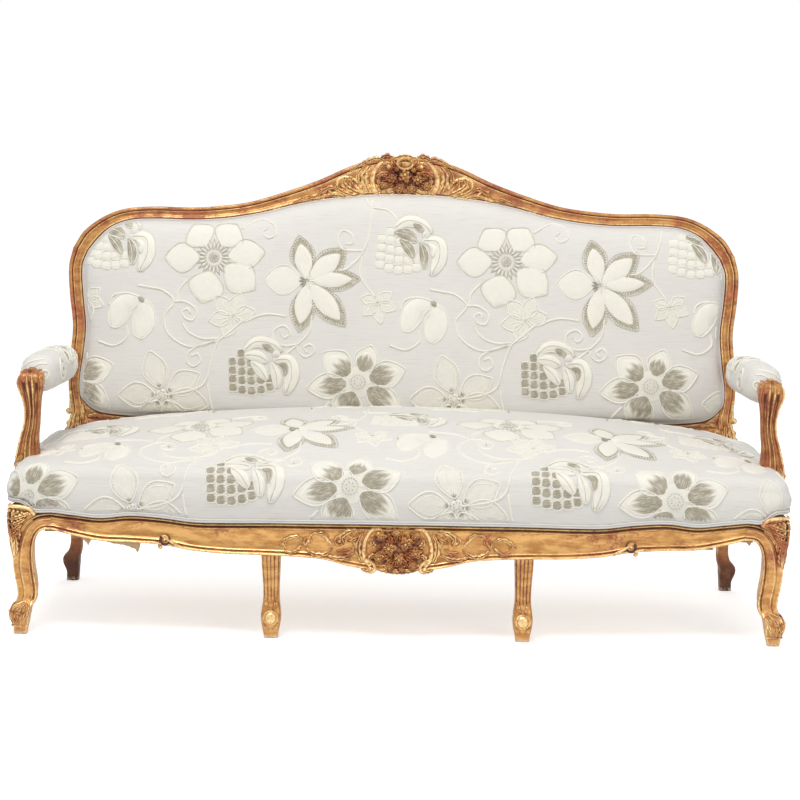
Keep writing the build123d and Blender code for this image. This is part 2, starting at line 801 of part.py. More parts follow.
with BuildPart() as rear_post_left:
    # Leg below the seat
    add(
        rounded_loft(
            [
                (Plane(origin=(-x, y, z)), width, depth)
                for z, x, y, width, depth in eased(back_leg_outline)
            ],
            leg_corner,
        )
    )
    # Square stump that takes the rails
    add(
        block(
            (-side_rail_outline[-1][1] - 1, post_front_y + joint_gap, post_block_bottom),
            (-side_rail_inner_x - joint_gap, post_block_back_y, post_block_top),
        )
    )
    # Moulded post above the seat
    post_stations = []
    for outer, inner in left_post_points():
        ledge = tack_ledge if outer[1] > opening_side_low else joint_gap
        post_stations.append(back_station(outer, inner, ledge))
    add(moulded_loft(post_stations))
    # Flat-faced shoulder that takes the bottom rail
    shoulder_depth = back_depth - cove_depth
    shoulder_tall = bottom_rail_height + 2 * post_flat_above
    shoulder_plane = Plane(
        origin=back_point(
            -bottom_rail_end_x - joint_gap, bottom_rail_top + post_flat_above, -back_depth
        ),
        x_dir=back_up,
        z_dir=(-1, 0, 0),
    )
    with BuildSketch(shoulder_plane):
        with Locations((-shoulder_tall / 2, -shoulder_depth / 2)):
            Rectangle(shoulder_tall, shoulder_depth)
    extrude(amount=bottom_rail_end / 2)
    for plane, wide, tall, reach in (
        (side_back_tenon_plane, tenon_thick, tenon_tall, tenon_long),
        (rear_tenon_plane, tenon_thick, rear_tenon_tall, rear_tenon_long),
        (bottom_tenon_plane, tenon_thick, bottom_tenon_wide, tenon_long),
        (arm_tenon_plane, tenon_thick, bottom_tenon_wide, arm_tenon_long),
    ):
        add(bar(plane, wide, tall, reach, back=tenon_root, extra=joint_gap), mode=Mode.SUBTRACT)
    # Tenon for the crest rail
    add(bar(crest_tenon_plane, bottom_tenon_wide, tenon_thick, tenon_long, back=tenon_root))

with BuildPart() as crest_rail:
    left_crest = [back_station(*pair, tack_ledge) for pair in left_crest_points()]
    right_crest = [
        back_station(mirror_point(outer), mirror_point(inner), tack_ledge)
        for outer, inner in left_crest_points()[-2::-1]
    ]
    add(moulded_loft(left_crest + right_crest))
    crest_mortise = bar(
        crest_tenon_plane, bottom_tenon_wide, tenon_thick, tenon_long, back=tenon_root, extra=joint_gap
    )
    add(crest_mortise, mode=Mode.SUBTRACT)
    add(mirrored(crest_mortise), mode=Mode.SUBTRACT)

with BuildPart() as back_bottom_rail:
    add(moulded_loft([back_station(low, top, None) for low, top in bottom_rail_points()[::-1]]))
    bottom_tenon = bar(bottom_tenon_plane, tenon_thick, bottom_tenon_wide, tenon_long, back=tenon_root)
    add(bottom_tenon)
    add(mirrored(bottom_tenon))
    # Ledge that carries the lower edge of the back upholstery
    with BuildSketch(back_plane(-back_depth)):
        with Locations((0, bottom_rail_top + tack_ledge / 2 - 1)):
            Rectangle(2 * (bottom_rail_end_x - 2.5 * tack_ledge), tack_ledge + 2)
    extrude(amount=tack_ledge_depth)

# ================================================================ braces and blocks
with BuildPart() as seat_brace_left:
    add(
        block(
            (-brace_x - brace_width / 2, front_rail_back_y + joint_gap, brace_top - brace_height),
            (-brace_x + brace_width / 2, rear_rail_y - joint_gap, brace_top),
        )
    )
    add(brace_tenon(-1, front_rail_back_y, -1))
    add(brace_tenon(-1, rear_rail_y, 1))
seat_brace_right = mirrored(seat_brace_left.part)


def corner_block(corner_x, corner_y, towards):
    """A triangular glue block in a corner of the seat frame, seen from above."""
    with BuildPart() as made:
        with BuildSketch(Plane.XY.offset(brace_top - corner_block_height)):
            with BuildLine():
                Polyline(
                    (corner_x, corner_y),
                    (corner_x + corner_block_leg, corner_y),
                    (corner_x, corner_y + towards * corner_block_leg),
                    close=True,
                )
            make_face()
        extrude(amount=corner_block_height)
    return made.part


def block_screws(corner_x, corner_y, towards, extra=0.0):
    """The two countersunk screws of a corner block, one into each rail."""
    middle_z = brace_top - corner_block_height / 2
    into_side = Plane(
        origin=(
            corner_x + screw_head_out,
            corner_y + towards * screw_inset,
            middle_z + screw_stagger,
        ),
        x_dir=(0, 1, 0),
        z_dir=(-1, 0, 0),
    )
    into_front = Plane(
        origin=(
            corner_x + screw_inset,
            corner_y + towards * screw_head_out,
            middle_z - screw_stagger,
        ),
        x_dir=(1, 0, 0),
        z_dir=(0, -towards, 0),
    )
    with BuildPart() as made:
        for plane in (into_side, into_front):
            with BuildSketch(plane):
                Circle(screw_head_radius + extra)
            with BuildSketch(plane.offset(screw_head_radius - screw_radius)):
                Circle(screw_radius + extra)
            loft()
            with BuildSketch(plane):
                Circle(screw_radius + extra)
            extrude(amount=screw_length + extra)
    return made.part


front_corner = (-side_rail_inner_x + joint_gap, front_rail_back_y + joint_gap, 1)
rear_corner = (-side_rail_inner_x + joint_gap, rear_rail_y - joint_gap, -1)
with BuildPart() as left_screw_holes:
    for corner in (front_corner, rear_corner):
        add(block_screws(*corner, extra=joint_gap / 2))
screw_holes = left_screw_holes.part + mirrored(left_screw_holes.part)
with BuildPart() as left_blocks:
    for corner in (front_corner, rear_corner):
        add(corner_block(*corner))
with BuildPart() as left_screws:
    for corner in (front_corner, rear_corner):
        add(block_screws(*corner))
with BuildPart() as corner_blocks:
    add(left_blocks.part)
    add(mirrored(left_blocks.part))
    add(screw_holes, mode=Mode.SUBTRACT)
with BuildPart() as corner_block_screws:
    add(left_screws.part)
    add(mirrored(left_screws.part))
with BuildPart() as side_rail_left_drilled:
    add(side_rail_left.part)
    add(left_screw_holes.part, mode=Mode.SUBTRACT)
with BuildPart() as front_leg_left_drilled:
    add(front_leg_left.part)
    add(left_screw_holes.part, mode=Mode.SUBTRACT)
with BuildPart() as rear_post_left_drilled:
    add(rear_post_left.part)
    add(left_screw_holes.part, mode=Mode.SUBTRACT)
with BuildPart() as front_rail_drilled:
    add(front_rail.part)
    add(screw_holes, mode=Mode.SUBTRACT)
with BuildPart() as rear_seat_rail_drilled:
    add(rear_seat_rail.part)
    add(screw_holes, mode=Mode.SUBTRACT)


# ================================================================ arms
def arm_form(extra=0.0):
    """The left arm from its volute back into the post, grown by extra all round."""
    sections = []
    for y, x, z, width, height in eased(arm_outline):
        plane = Plane(origin=(-x, y, z), x_dir=(1, 0, 0), z_dir=(0, 1, 0))
        sections.append((plane, width + 2 * extra, height + 2 * extra))
    return rounded_loft(sections, leg_corner)


arm_joint = arm_support_outline[-1]
arm_peg_plane = Plane(origin=(-arm_joint[1], arm_joint[2], arm_joint_z))

with BuildPart() as arm_support_left:
    add(
        rounded_loft(
            [
                (Plane(origin=(-x, y, z)), width, depth)
                for z, x, y, width, depth in eased(arm_support_outline)
            ],
            leg_corner,
        )
    )
    add(bar(support_tenon_plane, tenon_thick, tenon_tall, tenon_long, back=tenon_root))
    add(bar(arm_peg_plane, tenon_thick, tenon_thick, arm_peg_long, back=tenon_root))
arm_support_right = mirrored(arm_support_left.part)

with BuildPart() as arm_left:
    add(arm_form())
    # The arm ends just short of the beads of the post
    split(bisect_by=back_plane(joint_gap), keep=Keep.TOP)
    # Flat underside where it stands on its support
    add(
        block(
            (-notch_outer_x, 0, arm_joint_z - tenon_tall),
            (-side_rail_inner_x, arm_base_y + arm_flat_past, arm_joint_z),
        ),
        mode=Mode.SUBTRACT,
    )
    add(
        bar(arm_peg_plane, tenon_thick, tenon_thick, arm_peg_long, back=tenon_root, extra=joint_gap),
        mode=Mode.SUBTRACT,
    )
    add(bar(arm_tenon_plane, tenon_thick, bottom_tenon_wide, arm_tenon_long, back=arm_tenon_root))
arm_right = mirrored(arm_left.part)

with BuildPart() as arm_pad_left:
    pad_sections = []
    for y, x, z, width, height in eased(arm_pad_outline):
        plane = Plane(origin=(-x, y, z), x_dir=(1, 0, 0), z_dir=(0, 1, 0))
        pad_sections.append((plane, width, height))
    add(rounded_loft(pad_sections, pad_corner))
    # The arm runs through the pad
    add(arm_form(joint_gap), mode=Mode.SUBTRACT)
arm_pad_right = mirrored(arm_pad_left.part)


# ================================================================ seat upholstery
def along_table(table, x):
    """The row of a table at x, on straight lines between its rows."""
    for low, high in zip(table, table[1:]):
        if x <= high[0]:
            break
    share = (x - low[0]) / (high[0] - low[0])
    return tuple(a + (b - a) * share for a, b in zip(low, high))


def seat_places():
    """The seat's sections: (x, bottom, front edge, crown, back edge y), left to right."""
    half = []
    for x, top, _ in front_rail_places:
        _, edge, crown, back_y = along_table(seat_shape, x)
        half.append((x, top, edge, crown, back_y))
    half = half + list(seat_end_shape)
    return [(-x, *rest) for x, *rest in half[:0:-1]] + half


def seat_form(inset, drop=0.0):
    """The crowned form of the seat, drawn in by an inset, its underside carried down by drop."""
    with BuildPart() as form:
        for x, bottom, edge, crown, back_y in seat_places():
            beyond = max(abs(x) - rail_joint_x, 0.0)
            at_x = x - inset * x / abs(x) if beyond else x
            face_y = front_rail_face(min(abs(x), rail_joint_x)) + inset + seat_end_sweep * beyond**2
            low = bottom + cloth_gap
            top = edge - inset
            rear = back_y - inset
            rear_top = top + (crown - edge) * seat_rear_rise
            swell = seat_front_swell * (seat_end_swell if beyond else 1.0)
            middle_z = bottom + (edge - bottom) * seat_swell_at
            plane = Plane(origin=(at_x, 0, 0), x_dir=(0, 1, 0), z_dir=(1, 0, 0))
            with BuildSketch(plane):
                with BuildLine():
                    if drop:
                        Polyline((rear, low), (rear, low - drop), (face_y, low - drop), (face_y, low))
                    else:
                        Line((rear, low), (face_y, low))
                    ThreePointArc((face_y, low), (face_y - swell, middle_z), (face_y + seat_roll, top))
                    ThreePointArc(
                        (face_y + seat_roll, top),
                        ((face_y + rear) / 2 + seat_crown_back, crown - inset),
                        (rear - seat_back_lean, rear_top),
                    )
                    Line((rear - seat_back_lean, rear_top), (rear, low))
                make_face()
        loft(ruled=True)
    return form.part


def arm_notch(room):
    """The cut in the seat's upholstery round the foot of the left arm support."""
    _, _, _, width, depth = arm_support_outline[0]
    return block(
        (-notch_outer_x, arm_base_y - depth / 2 - notch_lean - room, side_rail_top),
        (width / 2 + notch_room + room - arm_base_x, arm_base_y + depth / 2 + notch_room + room, notch_top),
    )


spring_base = web_ledge_z
spring_top = spring_base + spring_height
hessian_base = spring_top + 2 * spring_wire + cloth_gap
cavity_top = hessian_base + hessian_thickness + cloth_gap

with BuildPart() as seat_cover:
    add(seat_form(0.0))
    add(seat_form(seat_skin, drop=seat_cover_tuck), mode=Mode.SUBTRACT)
    add(arm_notch(0.0), mode=Mode.SUBTRACT)
    add(mirrored(arm_notch(0.0)), mode=Mode.SUBTRACT)

with BuildPart() as seat_stuffing:
    add(seat_form(seat_skin + cloth_gap))
    add(arm_notch(seat_skin + 1), mode=Mode.SUBTRACT)
    add(mirrored(arm_notch(seat_skin + 1)), mode=Mode.SUBTRACT)
    # Room for the springs between the rails, inside the edge roll
    add(
        block(
            (-spring_cavity_x, front_rail_back_y + edge_gap, web_ledge_z),
            (spring_cavity_x, rear_rail_y - spring_cavity_margin, cavity_top),
        ),
        mode=Mode.SUBTRACT,
    )

with BuildPart() as seat_hessian:
    add(
        block(
            (edge_gap - spring_cavity_x, front_rail_back_y + 2 * edge_gap, hessian_base),
            (
                spring_cavity_x - edge_gap,
                rear_rail_y - spring_cavity_margin - edge_gap,
                hessian_base + hessian_thickness,
            ),
        )
    )


def hourglass_spring():
    """One seat spring about the origin: a wire that narrows to a waist and widens again."""
    steps_per_turn = 8
    points = []
    for step in range(spring_turns * steps_per_turn + 1):
        share = step / (spring_turns * steps_per_turn)
        waist = (1 - cos(2 * pi * share)) / 2
        radius = spring_radius - (spring_radius - spring_waist) * waist
        angle = 2 * pi * share * spring_turns
        points.append((radius * cos(angle), radius * sin(angle), spring_height * share))
    with BuildPart() as made:
        with BuildLine():
            wire = Spline(*points)
        with BuildSketch(wire ^ 0):
            Circle(spring_wire)
        sweep(path=wire)
    return made.part


one_spring = hourglass_spring()
spring_foot = spring_base + spring_wire + cloth_gap
spring_places = [
    (side * column, row, spring_foot)
    for side in (-1, 1)
    for column in spring_columns
    for row in spring_rows
]
with BuildPart() as seat_springs:
    with Locations(*spring_places):
        add(one_spring, clean=False)

web_front_y = front_rail_back_y - web_reach_front
web_back_y = rear_rail_y + web_reach_back
web_end_x = side_rail_inner_x + web_reach_side
web_top = web_ledge_z - joint_gap
cross_web_top = web_top - web_thickness - joint_gap
with BuildPart() as seat_webbing:
    # Strips from front to back, tacked under the ledges
    for side in (-1, 1):
        for column in (*spring_columns, outer_web_column):
            add(
                block(
                    (side * column - web_width / 2, web_front_y, web_top - web_thickness),
                    (side * column + web_width / 2, web_back_y, web_top),
                )
            )
    # Strips from side to side below them
    for row in spring_rows:
        add(
            block(
                (-web_end_x, row - web_width / 2, cross_web_top - web_thickness),
                (web_end_x, row + web_width / 2, cross_web_top),
            )
        )

with BuildPart() as dust_cover:
    cover_top = cross_web_top - web_thickness - joint_gap
    cover_end_x = web_ledge_end_x - dust_cover_margin
    add(
        block(
            (-cover_end_x, web_front_y - 1, cover_top - dust_cover_thickness),
            (cover_end_x, web_back_y + 1, cover_top),
        )
    )


def welt_loft(stations):
    """A double welt: two cords side by side, through planes whose x runs across them."""
    with BuildPart() as cord:
        for plane in stations:
            with BuildSketch(plane):
                with BuildLine():
                    half = welt_width / 2
                    Line((-half, 0), (half, 0))
                    Line((half, 0), (half, welt_height * 0.4))
                    ThreePointArc(
                        (half, welt_height * 0.4), (half / 2, welt_height), (0, welt_height * 0.6)
                    )
                    ThreePointArc(
                        (0, welt_height * 0.6), (-half / 2, welt_height), (-half, welt_height * 0.4)
                    )
                    Line((-half, welt_height * 0.4), (-half, 0))
                make_face()
        loft(ruled=True)
    return cord.part


with BuildPart() as seat_welt:
    front_places = [(-x, top) for x, top, _ in front_rail_places[:0:-1]]
    front_places = front_places + [(x, top) for x, top, _ in front_rail_places]
    front_welt = []
    for x, top in front_places:
        middle_z = top + edge_gap + welt_width / 2
        origin = (x, front_rail_face(x) - seat_welt_stand, middle_z)
        front_welt.append(Plane(origin=origin, x_dir=(0, 0, -1), z_dir=(-1, 0, 0)))
    add(welt_loft(front_welt))

# ================================================================ back upholstery
web_base = tack_ledge_depth - back_depth + joint_gap
with BuildPart() as back_webbing:
    with BuildSketch(back_plane(web_base)):
        for side in (-1, 1):
            for column in back_web_columns:
                with Locations((side * column, back_web_rises[1])):
                    Rectangle(web_width, 2 * back_web_rises[0])
    extrude(amount=web_thickness)
    with BuildSketch(back_plane(web_base + web_thickness + joint_gap)):
        for rise in back_web_rises:
            with Locations((0, rise)):
                Rectangle(2 * back_half_width, web_width)
    extrude(amount=web_thickness)
    add(opening_solid(back_layer_gap, web_base - 1, 4 * web_thickness + 2), mode=Mode.INTERSECT)

back_hessian_base = web_base + 2 * (web_thickness + joint_gap)
with BuildPart() as back_hessian:
    add(opening_solid(back_layer_gap, back_hessian_base, hessian_thickness))

pad_base = back_hessian_base + hessian_thickness + cloth_gap
with BuildPart() as back_cover:
    add(back_pad_form(0.0, pad_base))
    add(back_pad_form(back_skin, pad_base - back_cover_tuck), mode=Mode.SUBTRACT)
with BuildPart() as back_stuffing:
    add(back_pad_form(back_skin + cloth_gap, pad_base))


def outside_back_points():
    """The outside back's outline, left half, on the rear of the posts and the crest."""
    points = []
    for outer, inner in left_post_points()[2:] + left_crest_points()[1:]:
        points.append(tuple(low + (high - low) * outside_back_share for low, high in zip(inner, outer)))
    return points


with BuildPart() as outside_back:
    outside_left = outside_back_points()
    outside_right = [mirror_point(point) for point in outside_left[-2::-1]]
    with BuildSketch(back_plane(-back_depth - joint_gap)):
        with BuildLine():
            Polyline(*outside_left, *outside_right)
            Line(outside_right[-1], outside_left[0])
        make_face()
    extrude(amount=-outside_back_thickness)

with BuildPart() as back_welt:
    left_ring = [pair for pair in left_post_points() if pair[1][1] > opening_side_low]
    left_ring = left_ring + left_crest_points()[1:]
    right_ring = [(mirror_point(outer), mirror_point(inner)) for outer, inner in left_ring[-2::-1]]
    ring = []
    for outer, inner in left_ring + right_ring:
        outer_at = back_point(*outer)
        inner_at = back_point(*inner)
        across = (outer_at - inner_at).normalized()
        start = inner_at + across * (welt_width / 2 + welt_margin)
        start = start + back_normal * (joint_gap - inner_bead_drop)
        ring.append(Plane(origin=start, x_dir=across, z_dir=across.cross(back_normal)))
    add(welt_loft(ring))


# ================================================================ carved cartouches
def cartouche(plane, half_width, height):
    """A domed shield that carries the carving."""
    with BuildPart() as made:
        for lift, share in cartouche_dome:
            with BuildSketch(plane.offset(cartouche_relief * lift)):
                Ellipse(half_width * share, height / 2 * share)
        loft()
    return made.part


crest_middle = (hump_outline[-1][1] + hump_outline[-1][3]) / 2 + shoulder_height
with BuildPart() as crest_cartouche:
    crest_face = Plane(
        origin=back_point(0, crest_middle, joint_gap - bead_height), x_dir=(1, 0, 0), z_dir=back_normal
    )
    add(cartouche(crest_face, crest_cartouche_half_width, crest_cartouche_height))

apron_middle = (front_rail_outline[0][1] + front_rail_outline[0][2]) / 2
with BuildPart() as apron_cartouche:
    apron_face = Plane(
        origin=(0, front_rail_face(0) - joint_gap, apron_middle), x_dir=(1, 0, 0), z_dir=(0, -1, 0)
    )
    add(cartouche(apron_face, apron_cartouche_half_width, apron_cartouche_height))

# ================================================================ the pieces, in their own frame
pieces = {
    "front_rail": front_rail_drilled.part,
    "side_rail_left": side_rail_left_drilled.part,
    "side_rail_right": mirrored(side_rail_left_drilled.part),
    "rear_seat_rail": rear_seat_rail_drilled.part,
    "seat_brace_left": seat_brace_left.part,
    "seat_brace_right": seat_brace_right,
    "corner_blocks": corner_blocks.part,
    "corner_block_screws": corner_block_screws.part,
    "front_leg_left": front_leg_left_drilled.part,
    "front_leg_right": mirrored(front_leg_left_drilled.part),
    "middle_leg_left": middle_leg_left.part,
    "middle_leg_right": middle_leg_right,
    "rear_post_left": rear_post_left_drilled.part,
    "rear_post_right": mirrored(rear_post_left_drilled.part),
    "crest_rail": crest_rail.part,
    "back_bottom_rail": back_bottom_rail.part,
    "crest_cartouche": crest_cartouche.part,
    "apron_cartouche": apron_cartouche.part,
    "arm_left": arm_left.part,
    "arm_right": arm_right,
    "arm_support_left": arm_support_left.part,
    "arm_support_right": arm_support_right,
    "arm_pad_left": arm_pad_left.part,
    "arm_pad_right": arm_pad_right,
    "seat_webbing": seat_webbing.part,
    "seat_springs": seat_springs.part,
    "seat_hessian": seat_hessian.part,
    "seat_stuffing": seat_stuffing.part,
    "seat_cover": seat_cover.part,
    "seat_welt": seat_welt.part,
    "dust_cover": dust_cover.part,
    "back_webbing": back_webbing.part,
    "back_hessian": back_hessian.part,
    "back_stuffing": back_stuffing.part,
    "back_cover": back_cover.part,
    "back_welt": back_welt.part,
    "outside_back": outside_back.part,
}
front_most = front_rail_face(0) - joint_gap - cartouche_relief
rear_most = back_point(0, shoulder_height + hump_outline[-1][1], -back_depth).Y
middle_y = (front_most + rear_most) / 2
print("front feet line at y =", round(-middle_y, 3))

os.makedirs("parts", exist_ok=True)
for name, piece in pieces.items():
    placed = piece.moved(Location((0, -middle_y, 0)))
    placed.label = name
    export_step(placed, f"parts/{name}.step")
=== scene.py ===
from math import cos, pi, radians, sin, tau

import bmesh
import bpy
import numpy as np
from mathutils import Matrix, Vector


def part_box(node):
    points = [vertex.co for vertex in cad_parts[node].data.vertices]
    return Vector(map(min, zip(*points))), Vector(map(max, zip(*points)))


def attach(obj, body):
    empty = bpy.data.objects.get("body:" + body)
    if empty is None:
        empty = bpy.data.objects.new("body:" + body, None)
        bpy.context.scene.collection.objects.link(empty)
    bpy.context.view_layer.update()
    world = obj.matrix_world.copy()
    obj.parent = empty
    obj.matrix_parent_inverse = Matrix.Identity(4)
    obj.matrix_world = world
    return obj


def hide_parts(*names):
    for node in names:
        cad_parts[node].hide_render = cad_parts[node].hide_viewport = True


# Looks of the settee, built round the solid model. All sizes are in millimetres until a mesh is
# made; y = 0 is the line of the front feet, as where the solids are drawn, and meshes are moved
# from there into the frame.
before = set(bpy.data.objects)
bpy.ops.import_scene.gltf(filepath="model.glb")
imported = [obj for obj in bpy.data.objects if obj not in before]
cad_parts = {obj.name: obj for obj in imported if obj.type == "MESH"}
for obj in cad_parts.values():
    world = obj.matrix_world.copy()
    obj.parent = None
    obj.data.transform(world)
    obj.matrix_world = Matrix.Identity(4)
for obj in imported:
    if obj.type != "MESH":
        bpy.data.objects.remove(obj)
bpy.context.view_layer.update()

MM = 0.001
rear_rail_y = 545.0
shift_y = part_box("rear_seat_rail")[0].y / MM - rear_rail_y

# ---------------------------------------------------------------- sizes of the frame
back_rake = radians(8.0)
back_base_y = 494.6
back_half_width = 823.0
back_depth = 38.0
shoulder_height = 935.0
bottom_rail_top = 424.0
bottom_rail_height = 40.0
bottom_rail_rise = ((0, 25), (15, 14.5), (32, 8), (70, 3), (120, 0))
bottom_rail_end = 54.0
# Post: (rise, outer edge, inner edge), from the outside of the back
post_outline = (
    (286, 4, 36), (312, 4, 36), (369, 5, 41), (430, 12, 45), (492, 4, 36),
    (575, 8, 45), (640, 12, 50), (719, 3, 42), (786, 0, 39),
)
# Shoulder and hump of the crest: (outer x, its drop, inner x, its drop), then heights
shoulder_outline = (
    (10, 103, 52, 113), (36, 62, 74, 85), (83, 27, 107, 55),
    (134, 7, 151, 39), (208, 0, 215, 35), (303, 1, 307, 36),
)
hump_outline = (
    (444, 5, 432, -30), (380, 15, 350, -16), (300, 39, 272, 4), (215, 70, 192, 20),
    (130, 108, 116, 29), (60, 127, 56, 33), (0, 132, 0, 34),
)
rail_joint_x = 765.0
front_rail_end_y = -16.0
front_rail_bow = 26.0
front_rail_back_y = 36.0
# Front rail: (x, top, lower edge); side rail: (y, x of its face, lower edge)
front_rail_outline = (
    (0, 264, 160), (60, 264.5, 163), (112, 264, 171), (160, 263.5, 183), (220, 263, 188),
    (300, 262, 190), (380, 260, 191), (450, 260, 196), (520, 267.5, 207), (590, 271, 211),
    (656, 264.5, 213), (712, 269.5, 223), (rail_joint_x, 275, 236),
)
# Line of the seat's welt: (x, height) at the ends of the front, over the knee of the leg
seat_corner_line = (
    (rail_joint_x, 281), (784, 278), (799, 278), (808, 282), (818, 291), (831, 296.5), (844, 298),
    (856, 298),
)
side_rail_inner_x = 786.0
side_rail_top = 292.0
side_rail_outline = (
    (78, 853, 239), (150, 859, 228), (240, 856, 220), (330, 847, 216), (430, 836, 220),
    (532, 825, 232),
)
front_foot_x = 835.0
# Front leg: (z, how far its middle stands in, width)
front_leg_outline = (
    (0, 0, 28), (10, 0, 31), (26, 1, 36), (46, 1, 43), (62, 4, 43), (78, 13, 36), (98, 19, 32),
    (122, 16, 37), (156, 10, 42), (200, 6, 49), (240, 5, 55), (270, 5, 57), (290, 5, 54),
)
# The moulding that flows from the front rail down the corner leg:
# (outer x, outer z, inner x, inner z, y of its face)
leg_sweep = (
    (-765, 275, -765, 236, -16), (-784, 273, -781, 236, -18), (-801, 268, -792, 230, -20.5),
    (-817, 258, -800, 216, -22.5), (-831, 240, -804, 197, -22), (-842, 214, -805, 174, -19),
    (-848.5, 186, -804, 150, -14.5), (-850, 160, -801, 128, -15), (-847, 132, -798, 110, -12),
    (-843, 106, -797, 94, -8), (-842, 86, -799, 80, -7), (-846, 72, -805, 68, -11),
)
# The same on the side of the leg, from the side rail
side_sweep = (
    (-755, 291, -755, 239, -18), (-771, 287, -770, 237, -18.5), (-786, 280, -782, 233, -19.5),
    *leg_sweep[2:],
)
middle_leg_x = 279.0
# Middle leg: (z, y, width, depth)
middle_leg_outline = (
    (0, 2.5, 32, 32), (12, 1.5, 35, 36), (32, 0.5, 43, 43), (50, 0.5, 46, 44), (66, 4, 43, 38),
    (84, 9, 38, 33), (104, 9, 37, 33), (140, 2, 40, 38), (170, -7, 43, 43), (190, -10, 44, 44),
)
# Back leg: (z, x, y, width, depth)
back_leg_outline = (
    (0, 810, 570, 30, 30), (24, 809.5, 571, 32, 33), (45, 813, 573, 42, 40),
    (59, 812, 571, 42, 40), (78, 802, 563, 33, 34), (105, 798.5, 560, 29.5, 31),
    (160, 801, 557, 33, 36), (216, 806, 555, 38, 42), (300, 806, 555, 38, 46),
)
# Arm support: (z, x, y of the middle, width, depth)
arm_support_outline = (
    (292, 835, 150, 50, 50), (330, 841, 150, 55, 48), (365, 843, 148, 57, 44),
    (418, 838, 140, 43, 40), (450, 831, 134, 36, 38), (481, 828, 129, 35, 37),
    (512, 829, 126, 43, 40), (534, 830, 124, 54, 44),
)
# Arm, back to front: (y, x, z of the middle, width, height)
arm_outline = (
    (581, 804.5, 555.3, 22.5, 35.4), (520, 804.5, 553, 25, 34), (440, 809, 549, 35, 30),
    (300, 817, 549, 35, 30), (180, 824, 549.5, 38, 31), (146, 828, 554, 51, 39),
    (118, 830, 555, 58, 42), (104, 831, 556, 54, 32), (98, 831, 556, 44, 18),
)
# Arm pad, in the same order
arm_pad_outline = (
    (452, 809, 556, 46, 44), (440, 810, 557, 66, 70), (405, 813, 559, 80, 86),
    (300, 819, 560, 82, 88), (200, 824, 560, 80, 86), (166, 826, 559, 68, 72),
    (154, 827, 558, 48, 48),
)
# Seat: (x, height of the front edge, height of the crown)
seat_heights = (
    (0, 384, 458), (240, 384, 452), (450, 383, 440), (656, 381, 420), (765, 379, 404),
    (812, 376, 392), (869, 368, 380),
)
seat_end_x = 869.0
seat_back_y = 556.0
seat_roll = 34.0
seat_rear_hem = 263.0
back_crown = 46.0
# Swell of the back pad: (distance from its edge, share of the whole rise)
back_swell = (
    (0, 0.10), (2, 0.30), (7, 0.50), (16, 0.68), (32, 0.81), (62, 0.91), (110, 0.97), (190, 1.0),
    (400, 1.0),
)

back_normal = np.array([0.0, -cos(back_rake), sin(back_rake)])
back_up = np.array([0.0, sin(back_rake), cos(back_rake)])
across_x = np.array([1.0, 0.0, 0.0])


# ================================================================ curves and outlines
def lengths_along(points):
    """How far each point lies along its path."""
    return np.concatenate([[0], np.cumsum(np.linalg.norm(np.diff(points, axis=0), axis=1))])


def unit(vectors):
    """Rows brought to a length of one."""
    return vectors / np.linalg.norm(vectors, axis=1, keepdims=True)


def eased(rows, steps=8):
    """The rows of an outline with smooth in-between rows, on curves through the given ones."""
    rows = np.array(rows, float)
    reach = np.concatenate([[0], np.cumsum(np.hypot(*np.diff(rows[:, :2], axis=0).T))])
    high = np.minimum(np.arange(len(rows)) + 1, len(rows) - 1)
    low = np.maximum(np.arange(len(rows)) - 1, 0)
    slopes = (rows[high] - rows[low]) / (reach[high] - reach[low])[:, None]
    smooth = []
    for i in range(len(rows) - 1):
        run = reach[i + 1] - reach[i]
        u = np.arange(steps)[:, None] / steps
        keep = 2 * u**3 - 3 * u**2 + 1
        leave = (u**3 - 2 * u**2 + u) * run
        arrive = (u**3 - u**2) * run
        held = rows[i] * keep + rows[i + 1] * (1 - keep)
        smooth.append(held + slopes[i] * leave + slopes[i + 1] * arrive)
    return np.concatenate([*smooth, rows[-1:]])


def curve_through(points, spacing):
    """A smooth open curve through points, cut into steps of about the given length."""
    points = np.array(points, float)
    if len(points) > 2:
        points = eased(points, 10)
    reach = lengths_along(points)
    steps = max(int(reach[-1] / spacing), 2)
    places = np.linspace(0, reach[-1], steps + 1)
    return np.column_stack([np.interp(places, reach, points[:, k]) for k in range(points.shape[1])])


def read_at(place, rows, *columns):
    """Values of some columns of an outline at places along its first column."""
    return [np.interp(place, rows[:, 0], rows[:, k]) for k in columns]


def without_lift(flat):
    """Flat points with a third value of 0."""
    return np.column_stack([flat, np.zeros(len(flat))])


def side_ways(path):
    """Unit directions across a path in its plane, to its left."""
    along = np.gradient(path, axis=0)
    along = along / np.maximum(np.linalg.norm(along, axis=1, keepdims=True), 1e-9)
    return np.column_stack([-along[:, 1], along[:, 0]])


def back_points(flat):
    """Points from (x, rise along the rake, height in front of the back's face)."""
    flat = np.asarray(flat, float)
    base = np.array([0.0, back_base_y, 0.0])
    return base + flat[:, :1] * across_x + flat[:, 1:2] * back_up + flat[:, 2:3] * back_normal


def front_rail_face(x):
    """y of the front rail's face: a shallow bow."""
    x = np.minimum(np.abs(x), rail_joint_x)
    return front_rail_end_y - front_rail_bow * (1 + np.cos(pi * x / rail_joint_x)) / 2


def shoulder_row(a, drop, b, inner_drop):
    """A row of the shoulder as outer x, outer rise, inner x, inner rise on the left."""
    heights = (shoulder_height - drop, shoulder_height - inner_drop)
    return (a - back_half_width, heights[0], b - back_half_width, heights[1])


